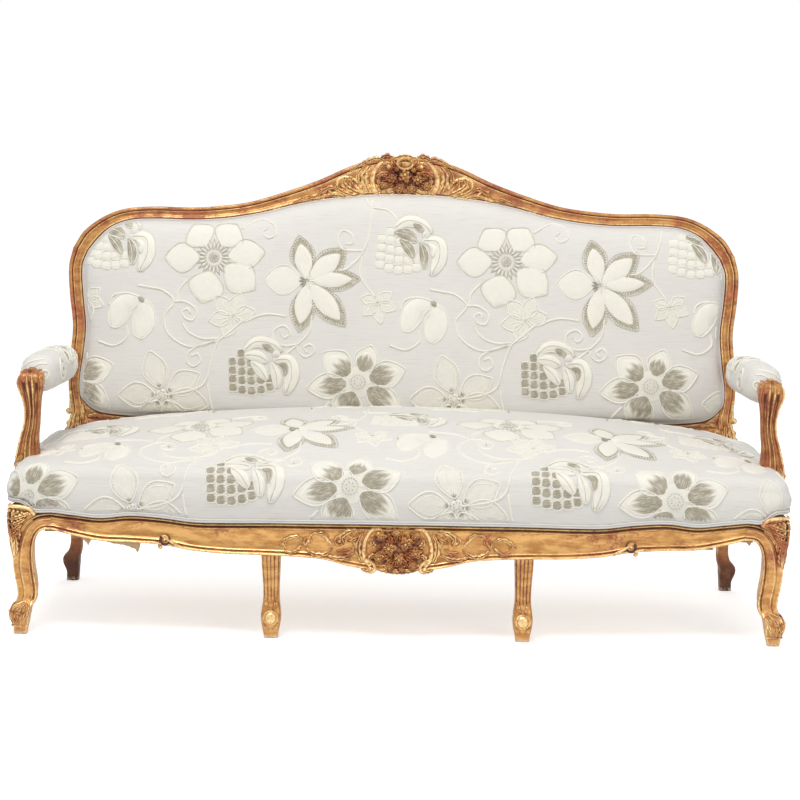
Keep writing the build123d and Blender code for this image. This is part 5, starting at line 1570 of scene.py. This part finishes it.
# Cells of the fruit: (column x, heights of its cells)
fruit_cells = (
    (-47, (22, 1, -20, -40)), (-25, (44, 23, 1, -21, -44)), (-2, (22, 0, -22, -46)),
    (21, (0, -21, -44)), (42, (-20, -40)),
)
fruit_cell = (
    (-11, 9), (-11, -5), (-7, -10), (7, -10), (11, -5), (11, 9), (0, 11), (-11, 9),
)
# Leaves of its crown: (spine, half width, is dark on the dark fruit, is dark on the pale fruit)
crown_leaves = (
    (((-22, 52), (8, 74), (46, 70), (72, 52)), 15, False, False),
    (((-20, 42), (12, 40), (38, 28)), 15, False, True),
    (((-4, 26), (18, 8), (36, -18)), 13, False, True),
    (((50, 30), (88, 30), (96, -8), (82, -52)), 18, False, False),
    (((46, 24), (58, -4), (62, -38)), 12, False, True),
    (((24, 68), (38, 61), (52, 54)), 8, True, True),
    (((66, 22), (80, 14), (80, -8)), 8, True, False),
)


class Needle:
    """Draws motifs on a form that is laid on its cloth at the end."""

    def __init__(self, form):
        self.form = form

    def cord(self, points, radius=1.5, tint=cream, spacing=3.5):
        path = curve_through(points, spacing)
        strand(self.form, flat_ground, path, radius * 1.3, radius * 1.5, tint, sides=4)

    def fill(self, centre, angle, start, end, width, tint, rise, lift=0.0, blunt=0.72):
        spine = around(centre, angle, [(start, 0), ((start + end) / 2, 0), (end, 0)])
        blade(self.form, flat_ground, spine, width, rise, tint, blunt=blunt, lift=lift)

    def dot(self, centre, radius, tint, rise, lift, around_count=8):
        boss(self.form, flat_ground, centre, radius, rise, tint, rings=3, around=around_count,
             lift=lift)

    def knots(self, centre, count, reach, radius, tint, rise, lift):
        """A ring of small knots."""
        for k in range(count):
            spot = around(centre, tau * k / count, [(reach, 0)])[0]
            self.dot(spot, radius, tint, rise, lift)

    def petal(self, centre, angle, start, end, width, inside, edge, edge_radius=1.4, rise=1.6):
        if inside is not None:
            self.fill(centre, angle, start, end + 3, width, inside, rise)
        outline = around(centre, angle, petal_edge(start, end, width))
        self.cord(outline, edge_radius, edge)

    def round_flower(self, centre, turn):
        """Six full petals round a ring of looped stitches."""
        for degrees, length, width in round_petals:
            angle = turn + radians(degrees)
            self.petal(centre, angle, 34, length, width, ivory, sage, 1.0, 2.4)
            self.cord(around(centre, angle, petal_edge(38, length - 9, width - 8)), 0.9, ivory)
        for k in range(20):
            angle = tau * k / 20
            self.cord(around(centre, angle, petal_edge(20, 39, 4.2)), 0.9, soft_taupe, 2.5)
            self.fill(centre, angle, 21, 39, 2.6, ivory, 1.8, 1.4)
        self.dot(centre, 13, soft_taupe, 2.0, 1.2, 16)
        self.knots(centre, 8, 8, 2.0, ivory, 1.6, 2.4)

    def banded_flower(self, centre, turn):
        """Pointed petals with a dark band sewn with pale beads, and one plain petal."""
        for degrees, length, width in banded_petals:
            angle = turn + radians(degrees)
            if degrees == 178:
                self.petal(centre, angle, 12, length, width, ivory, cream, 1.3, 1.6)
                self.cord(around(centre, angle, petal_edge(20, length - 14, width - 12)), 0.9, ivory)
                continue
            band = brushed(ivory, band_tint, 0.26)
            self.petal(centre, angle, 14, length, width, band, soft_taupe, 0.9, 1.4)
            self.fill(centre, angle, 10, length - 14, width - 10, ivory, 1.8, 1.4)
            edge = petal_edge(18, length - 5, width - 5)
            for spot in around(centre, angle, curve_through(edge, 6.5)[6:-6]):
                self.dot(spot, 1.9, ivory, 1.3, 1.4)
            for off in (-7, 0, 7):
                self.cord(around(centre, angle, [(20, off * 0.5), (52, off * 1.4)]), 0.7, cream, 6)
        for k in range(14):
            tint = taupe if 6 <= k <= 9 else cream
            self.fill(centre, tau * k / 14, 4, 20, 2.2, tint, 1.4, 2.6)

    def dark_flower(self, centre, turn):
        """Petals with dark hearts round a disc of radial stitches."""
        for degrees, length, width in dark_petals:
            angle = turn + radians(degrees)
            self.petal(centre, angle, 24, length, width, cream, ivory, 1.7, 1.0)
            dark = brushed(taupe, cream, 0.8 if degrees != 140 else 0.62)
            self.fill(centre, angle, 22, length - 11, width - 8, dark, 1.6, 1.0, blunt=0.6)
            edge = petal_edge(26, length - 9, width - 7)
            self.cord(around(centre, angle, edge[3:-3]), 0.8, cream)
        self.dot(centre, 38, ivory, 3.0, 1.2, 32)
        for k in range(26):
            self.cord(around(centre, tau * k / 26, [(20, 0), (27, 0), (36, 0)]), 1.0, cream, 5)
        self.knots(centre, 18, 17, 1.5, soft_taupe, 1.4, 4.2)
        self.knots(centre, 7, 9, 1.6, soft_taupe, 1.4, 4.4)

    def open_flower(self, centre, turn):
        """Pale pointed petals with a beaded double edge."""
        for degrees, length, width in open_petals:
            angle = turn + radians(degrees)
            self.petal(centre, angle, 16, length, width, cloth_cream, cream, 1.6, 0.8)
            self.cord(around(centre, angle, petal_edge(22, length - 13, width - 9)), 1.0, cream)
            edge = petal_edge(19, length - 6, width - 4.5)
            for spot in around(centre, angle, curve_through(edge, 7.0)[2:-2]):
                self.dot(spot, 1.7, ivory, 1.2, 0.6)
            self.fill(centre, angle, 12, 42, 7, brushed(taupe, cloth_cream, 0.5), 0.6, 0.9)
            for off in (-9, -3, 3, 9):
                self.cord(around(centre, angle, [(24, off * 0.5), (60, off * 1.2)]), 0.7, cream, 6)
        self.dot(centre, 14, cream, 2.2, 0.8, 16)
        self.knots(centre, 7, 8, 2.0, soft_taupe, 1.4, 2.4)

    def fruit(self, centre, turn, pale):
        """A scaled fruit with a ruffled crown of leaves."""
        for x, heights in fruit_cells:
            for y in heights:
                bend = 0.0016 * (x + 10) ** 2
                spot = around(centre, turn, [(x - 0.04 * y, y + bend)])[0]
                inside = ivory if pale else brushed(taupe, cream, 0.92)
                self.fill(spot, turn + 0.1, -11, 11, 10.5, inside, 1.6, blunt=0.3)
                self.cord(around(spot, turn, fruit_cell), 1.2, ivory)
        for spine, width, dark, dark_on_pale in crown_leaves:
            shade = dark_on_pale if pale else dark
            path = around(centre, turn, spine)
            tint = brushed(taupe, soft_taupe, 0.8) if shade else brushed(cream, ivory, 0.5)
            lift = 1.4 if width > 9 else 3.6
            blade(self.form, flat_ground, path, width, 2.6, tint, lift=lift)
            line = curve_through(path, 4.0)
            rim = curve_through(rim_of(line, width)[::2], 3.5)
            for points, thick, high, plain, raised in (
                (rim, 1.4, 1.8, ivory, 1.2), (line[1:-1], 0.8, 0.9, soft_taupe, 4.0),
            ):
                tint = cream if shade else plain
                strand(self.form, flat_ground, points, thick, high, tint, sides=4, lift=raised)
        self.dot(around(centre, turn, [(58, 44)])[0], 10, ivory, 3.5, 3.0, 14)

    def tulip(self, centre, turn):
        """A drooping half-open flower of two petals below a cap."""
        for spine in (((22, 36), (-16, 22), (-42, -34)), ((30, 34), (36, 0), (22, -60))):
            path = around(centre, turn, spine)
            blade(self.form, flat_ground, path, 27, 2.4, ivory, lift=0.4)
            line = curve_through(path, 4.0)
            self.cord(rim_of(line, 27)[::2], 1.5, cream)
            self.cord(line[2:-2], 0.8, soft_taupe)
        cap = around(centre, turn, [(-52, 22), (-42, 44), (-8, 50), (24, 40), (44, 22)])
        self.cord(cap, 2.0, cream)
        self.fill(around(centre, turn, [(26, 36)])[0], turn - 0.7, -8, 10, 6, taupe, 2.0, 3.4)

    def leaf(self, centre, turn, size):
        """A lobed leaf drawn in cord, with its veins."""
        for lean in (-2.0, -1.0, 0.0, 1.0, 2.0):
            reach = size * (1.0 - 0.12 * abs(lean))
            way = turn + lean
            self.petal(centre, way, size * 0.10, reach, size * 0.31, cloth_cream, cream, 1.6, 0.7)
            self.cord(around(centre, way, [(4, 0), (reach * 0.8, 0)]), 1.3)
            for off in (0.35, 0.6):
                for side in (-1, 1):
                    vein = [(reach * off, 0), (reach * (off + 0.18), side * size * 0.13)]
                    self.cord(around(centre, way, vein), 0.9, cream, 5)
        self.cord(around(centre, turn + pi, [(0, 0), (size * 0.35, 2)]), 1.7)


# Stems of one repeat of the cloth, in millimetres across it and up it
repeat = 712.0
stems = (
    ((-647, 738), (-624, 734), (-585, 726), (-557, 699), (-581, 663), (-569, 619), (-518, 590),
     (-456, 603), (-444, 611)),
    ((-557, 699), (-530, 699), (-503, 679), (-510, 655), (-530, 659), (-537, 675), (-524, 682),
     (-518, 671)),
    ((-524, 754), (-546, 728), (-551, 701)),
    ((-385, 659), (-421, 627), (-448, 603), (-467, 548), (-479, 504), (-510, 484), (-577, 471)),
    ((-374, 657), (-350, 668), (-319, 672), (-284, 667)),
    ((-537, 647), (-521, 625), (-487, 610), (-446, 611)),
    ((-456, 603), (-495, 592), (-520, 576), (-523, 552), (-507, 542), (-491, 556), (-499, 573),
     (-512, 568)),
    ((-221, 671), (-227, 631), (-254, 600), (-284, 575)),
    ((-256, 599), (-288, 596), (-313, 611), (-311, 635), (-288, 644), (-273, 627), (-287, 615),
     (-296, 625)),
    ((-257, 598), (-250, 578), (-233, 569), (-214, 584), (-224, 600), (-240, 591), (-232, 580)),
    ((-77, 985), (-84, 877), (-100, 826), (-137, 786), (-159, 781)),
    ((-102, 818), (-105, 770), (-88, 742), (-69, 719)),
    ((-98, 830), (-149, 834), (-161, 861), (-149, 879), (-127, 869), (-125, 849), (-141, 846)),
    ((-473, 504), (-468, 469), (-452, 400)),
    ((-174, 460), (-200, 431), (-215, 390)),
    ((-10, 900), (-40, 930), (-82, 940), (-95, 965)),
    ((-395, 880), (-350, 905), (-318, 892), (-312, 868), (-332, 858), (-345, 872), (-334, 882)),
    ((-30, 600), (10, 590), (42, 612), (40, 640)),
)
# Motifs of one repeat: (kind, x, rise, turn, and whether a fruit is pale or how large a leaf is)
motifs = (
    ("round_flower", -462, 808, 0.0), ("banded_flower", -234, 754, 0.0),
    ("dark_flower", -106, 510, 0.0), ("open_flower", -584, 472, 0.0), ("tulip", 48, 668, 0.0),
    ("fruit", -364, 530, 0.0, False), ("fruit", -8, 832, -0.1, True),
    ("leaf", -62, 705, -1.4, 46), ("leaf", -412, 664, 2.3, 62),
)
motif_reach = 110


def sew(needle, offset, low, high, left, right):
    """All motifs and stems whose place lies in a window, moved by offset in height."""
    for k in range(-2, 3):
        for stem in stems:
            path = np.array(stem, float) + (k * repeat, offset)
            if (path.max(0) >= (left, low)).all() and (path.min(0) <= (right, high)).all():
                needle.cord(path, 2.0)
        for kind, x, rise, turn, *more in motifs:
            spot = np.array([x + k * repeat, rise + offset])
            past = np.maximum((left, low) - spot, spot - (right, high))
            if past.max() < motif_reach:
                getattr(needle, kind)(spot, turn, *more)


def sew_back():
    """The needlework of the back, up to a little inside the opening."""
    form = Form()
    sew(Needle(form), 0.0, 420, 975, -790, 790)
    flat = np.concatenate(form.points)
    form.points = [back_ground(points) for points in form.points]
    inside = on_lattice(edge_distance, flat)
    make_piece(form, "back_needlework", thread, keep=inside > 7.0)


def sew_seat():
    """The needlework of the seat: two bands of the pattern, down to a little above the hem."""
    form = Form()
    for band in (0, 1):
        sew(Needle(form), band * 640.0 - 572.0, -130, 520, -960, 960)
    flat = np.concatenate(form.points)
    placed = [seat_ground(points) for points in form.points]
    form.points = [place for place, _ in placed]
    share = np.concatenate([share for _, share in placed])
    keep = (share < 0.93) & (flat[:, 1] < seat_back_y - 20)
    make_piece(form, "seat_needlework", thread, keep=keep)


sew_back()
sew_seat()

# ================================================================ arm pads
pad_rows = eased(arm_pad_outline)[::-1]
pad_radius = 43.0
pad_front = 149
# Where the round front end passes into the straight part
pad_turn = 46


def pad_ground(points):
    """Points of the left pad from (y, length round it from the top, height over the cloth)."""
    y, around_it, lift = points.T
    x, z, w, h = read_at(y, pad_rows, 1, 2, 3, 4)
    angle = around_it / pad_radius
    box = (np.abs(np.cos(angle)) ** 2.5 + np.abs(np.sin(angle)) ** 2.5) ** -0.4
    w = np.where(y < 200, 80, w)
    h = np.where(y < 200, 86, h)
    ends = np.minimum((y - pad_front) / pad_turn, (455 - y) / 26 + 0.2)
    round_off = np.sqrt(np.clip(1 - (1 - np.clip(ends, 0.004, 1)) ** 2, 0, 1))
    reach_x = w / 2 * box * round_off + lift
    reach_z = h / 2 * box * round_off + lift
    return np.column_stack([-x + reach_x * np.sin(angle), y, z + reach_z * np.cos(angle)])


def front_places(count):
    """Places along the pad's round front end, closer at its tip."""
    return pad_front + pad_turn * np.linspace(0.02, 1, count) ** 2


def pad_form():
    """The cloth of the left pad."""
    form = Form()
    straight = (np.linspace(202, 425, 40), np.linspace(430, 453.5, 12))
    ys = np.concatenate([front_places(22), *straight])
    turn = np.linspace(0, tau * pad_radius, 97)[:-1]
    y, a = np.meshgrid(ys, turn, indexing="ij")
    points = without_lift(np.column_stack([y.ravel(), a.ravel()]))
    skin(form, pad_ground(points).reshape(len(ys), len(turn), 3), (0, 0, 0), points[:, :2])
    return form


# Motifs of the left pad: (y, length round it from the top, kind)
pad_motifs = (
    (300, -38, "spiral"), (250, 60, "spiral"), (390, 44, "leaf"), (205, -60, "leaf"),
    (330, 20, "petals"), (400, -50, "petals"),
)
pad = pad_form()
pad_sewing = Form()
pad_needle = Needle(pad_sewing)
for y, a, kind in pad_motifs:
    if kind == "spiral":
        pad_needle.cord(spiral((y, a), 30, 2.0, 0.4, steps=30), 2.0)
        pad_needle.cord(spiral((y, a), 21, 1.4, 1.2, steps=20), 1.5, soft_taupe)
    elif kind == "leaf":
        pad_needle.leaf((y, a), 1.0, 36)
    else:
        for k in range(6):
            inside = ivory if k % 2 else taupe
            pad_needle.petal((y, a), tau * k / 6, 10, 38, 13, inside, cream, 1.4)
pad_sewing.points = [pad_ground(points) for points in pad_sewing.points]
front_ys = front_places(40)


def pad_end(points):
    """Points on the front end of the left pad from (x, height) about its middle, seen from the
    front."""
    angle = np.arctan2(points[:, 0], points[:, 1])
    reach = np.hypot(points[:, 0], points[:, 1])
    placed = []
    for turn, far, lift in zip(angle, reach, points[:, 2]):
        column = np.column_stack([front_ys, np.full(40, turn * pad_radius)])
        column = pad_ground(without_lift(column))
        x, z = read_at(front_ys, pad_rows, 1, 2)
        size = np.hypot(column[:, 0] + x, column[:, 2] - z)
        y = np.interp(far, size, front_ys)
        x, z = read_at(y, pad_rows, 1, 2)
        back = lift + (far < size[0]) * 0.5
        placed.append((-x + far * sin(turn), y - back, z + far * cos(turn)))
    return np.array(placed)


end_sewing = Form()
end_needle = Needle(end_sewing)
end_needle.cord(spiral((19, 4), 15, 1.7, 2.6, steps=44), 1.8)
end_needle.cord(spiral((14, 0), 27, 0.6, 1.2, inner=0.95, steps=24), 1.5)
end_needle.fill(np.array([17, 4]), 2.4, -7, 7, 4, taupe, 1.0)
end_needle.cord([(-30, 18), (-18, 28), (0, 34), (16, 36)], 1.6)
pad_sewing.join(end_sewing, pad_end, np.concatenate(end_sewing.places))
for side, body, sewn in (
    ("left", pad, pad_sewing), ("right", pad.mirrored(), pad_sewing.mirrored()),
):
    piece = make_piece(body, f"padded_arm_{side}", cover_cloth, [f"arm_pad_{side}"])
    make_piece(sewn, f"arm_needlework_{side}", thread)


# ================================================================ welts
def double_welt(form, centres, across, normals, radius):
    """Two cords side by side on a line."""
    turn = np.linspace(0, tau, 12, endpoint=False)
    run = lengths_along(centres)
    round_it = across[:, None] * np.cos(turn)[:, None] + normals[:, None] * np.sin(turn)[:, None]
    for side in (-1, 1):
        middle = centres + across * side * radius * 0.95 + normals * radius * 0.8
        places = np.stack(np.broadcast_arrays(run[:, None], turn * radius), -1)
        skin(form, middle[:, None] + radius * round_it, places=places.reshape(-1, 2))


back_welt = Form()
round_line = curve_through(np.concatenate([opening, opening[:1]]), 6.0)
outwards = side_ways(round_line)
outwards[0] = outwards[-1] = (outwards[0] + outwards[-1]) / 2
across = outwards[:, :1] * across_x + outwards[:, 1:] * back_up
centres = back_points(without_lift(round_line + outwards) + [0, 0, -1.5])
double_welt(back_welt, centres, across, np.broadcast_to(back_normal, across.shape), 2.0)
make_piece(back_welt, "back_double_welt", welt_cloth, ["back_welt"])

seat_welt = Form()
corner_path = [(-x, float(seat_front_y(x)) - 2.5, z + 2) for x, z in seat_corner_line[1:-2]]
side_path = [
    (-844, -5, 299.5), (-854, 2, 300), (-861, 13, 301), *((-863, y, 301) for y in (28, 60, 300, 530)),
]
front_path = [(-x, float(front_rail_face(x)) - 3.5, top + 6)
              for x, top, _ in front_rail_outline[::-1]]
left_path = curve_through(side_path[::-1] + corner_path[::-1] + front_path, 5.0)
centres = np.concatenate([left_path, left_path[-2::-1] * [-1, 1, 1]])
along = unit(np.gradient(centres, axis=0))
upwards = unit(np.array([0.0, 0.0, 1.0]) - along * along[:, 2:])
outwards = np.cross(along, upwards)
double_welt(seat_welt, centres, upwards, outwards, 2.3)
make_piece(seat_welt, "seat_double_welt", welt_cloth, ["seat_welt"])

# ================================================================ outside back and dust cover
outside = Form()
outside_rows = np.concatenate([post_rows[16:], crest_rows[1:]])
outline = outside_rows[:, 2:] + (outside_rows[:, :2] - outside_rows[:, 2:]) * 0.4
outline = np.concatenate([outline, outline[-2::-1] * [-1, 1]])
middle = np.array([0.0, 650.0])
levels = (1.0, 0.985, 0.9, 0.6, 0.3)
rings = []
for share in levels:
    flat = middle + (outline - middle) * share
    depth = -back_depth - 1.0 - 1.2 * (1 - share**2)
    rings.append(back_points(without_lift(flat) + [0, 0, depth]))
points = np.concatenate([*rings, back_points([(*middle, -back_depth - 2.2)])])
size = len(outline)
faces = [lattice(len(levels), size, closed=True),
         fan((len(levels) - 1) * size, size, len(points) - 1)]
outside.add(points, faces, points[:, [0, 2]])
outside_piece = make_piece(outside, "outside_back_cloth", cover_cloth, ["outside_back"])

low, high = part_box("dust_cover")
lining = Form()
columns, rows = 121, 49
u, v = np.meshgrid(np.linspace(0, 1, columns), np.linspace(0, 1, rows), indexing="ij")
x = (low.x + (high.x - low.x) * u) / MM
y = (low.y + (high.y - low.y) * v) / MM - shift_y
sag = 1.0 + 7.0 * np.sin(pi * u) ** 0.6 * np.sin(pi * v) ** 0.8 * (0.75 + 0.25 * np.sin(9 * u + 3 * v))
z = high.z / MM - sag
points = np.column_stack([x.ravel(), y.ravel(), z.ravel()])
lining.add(points, lattice(columns, rows), points[:, :2])
lining_piece = make_piece(lining, "sagging_dust_cover", lining_cloth, ["dust_cover"])

# Torn remains of an older lining that hang behind the front rail's lower edge: (x, lowest point)
shred_edges = (
    ((-698, 214), (-690, 206), (-686, 199), (-682, 207), (-678, 214)),
    ((-650, 210), (-632, 205), (-608, 201), (-590, 196), (-581, 193), (-577, 185), (-573, 191),
     (-570, 205)),
    ((766, 234), (771, 228), (777, 222), (781, 229), (786, 235)),
)
shreds = Form()
for edge in shred_edges:
    edge = np.array(edge, float)
    tack = edge[:, 1].max() + 8
    xs = np.linspace(edge[0, 0], edge[-1, 0], 40)
    tatter = np.interp(xs, edge[:, 0], edge[:, 1]) - 0.9 * np.abs(np.sin(xs * 1.3))
    share = np.linspace(0, 1, 8)
    fall = tack + (tatter - tack)[:, None] * share
    sway = 8 + 2.0 * np.sin(xs / 9.0)[:, None] * share
    grid = np.stack([np.broadcast_to(xs[:, None], fall.shape), sway, fall], -1).reshape(-1, 3)
    shreds.add(grid, lattice(len(xs), len(share)), grid[:, [0, 2]])
shreds_piece = make_piece(shreds, "torn_lining", lining_cloth)

# ================================================================ floor, light and camera
floor_mesh = bpy.data.meshes.new("floor")
floor_reach = 30.0
floor_signs = ((-1, -1), (1, -1), (1, 1), (-1, 1))
floor_corners = [(x * floor_reach, y * floor_reach, 0) for x, y in floor_signs]
floor_mesh.from_pydata(floor_corners, [], [(0, 1, 2, 3)])
floor = bpy.data.objects.new("floor", floor_mesh)
bpy.context.scene.collection.objects.link(floor)
n = Nodes("floor_white")
paths = n.add("LightPath")
glass = n.math("MAXIMUM", paths.outputs["Is Glossy Ray"], paths.outputs["Is Transmission Ray"])
seen = n.math("MAXIMUM", paths.outputs["Is Camera Ray"], glass)
n.set(Base_Color=(0.8, 0.8, 0.8, 1), Roughness=1.0, Emission_Color=(1, 1, 1, 1),
      Emission_Strength=n.times(seen, 0.56))
n.shader.inputs["Specular IOR Level"].default_value = 0.0
floor_mesh.materials.append(n.material)

scene = bpy.context.scene
world = bpy.data.worlds.new("studio")
scene.world = world
world.use_nodes = True
tree = world.node_tree
background = tree.nodes["Background"]
paths = tree.nodes.new("ShaderNodeLightPath")
any_seen = tree.nodes.new("ShaderNodeMath")
any_seen.operation = "MAXIMUM"
tree.links.new(paths.outputs["Is Camera Ray"], any_seen.inputs[0])
tree.links.new(paths.outputs["Is Transmission Ray"], any_seen.inputs[1])
strength = tree.nodes.new("ShaderNodeMapRange")
strength.inputs["To Min"].default_value = 0.60
strength.inputs["To Max"].default_value = 1.0
tree.links.new(any_seen.outputs[0], strength.inputs["Value"])
tree.links.new(strength.outputs[0], background.inputs["Strength"])
background.inputs["Color"].default_value = (1, 1, 1, 1)


def lamp(name, place, aim, size, power):
    """A round lamp of a given width in metres and power in watts."""
    data = bpy.data.lights.new(name, "AREA")
    data.shape = "DISK"
    data.size = size
    data.energy = power
    item = bpy.data.objects.new(name, data)
    item.location = place
    item.rotation_euler = (Vector(aim) - Vector(place)).to_track_quat("-Z", "Y").to_euler()
    scene.collection.objects.link(item)


lamp("key", (-0.8, -2.0, 4.4), (0, 0, 0.5), 2.0, 112)
lamp("fill", (2.6, -3.4, 2.2), (0, 0, 0.5), 2.6, 34)
lamp("rear", (0.5, 3.2, 2.8), (0, 0, 0.6), 2.4, 34)

camera_data = bpy.data.cameras.new("camera")
# The camera that was fitted to the photograph
camera_data.lens = 96.19
camera_data.sensor_width = 36.0
camera = bpy.data.objects.new("camera", camera_data)
pitch, roll, yaw = radians(7.302), radians(0.870), radians(-0.342)
forward = Vector((sin(yaw) * cos(pitch), cos(yaw) * cos(pitch), -sin(pitch)))
level = Vector((cos(yaw), -sin(yaw), 0))
upright = level.cross(forward)
right = cos(roll) * level + sin(roll) * upright
above = -sin(roll) * level + cos(roll) * upright
spot = Vector((27.57, -4644.4 + shift_y, 1130.6)) * MM
camera.matrix_world = Matrix.Translation(spot) @ Matrix((right, above, -forward)).transposed().to_4x4()
scene.collection.objects.link(camera)
scene.camera = camera
scene.view_settings.view_transform = "Standard"
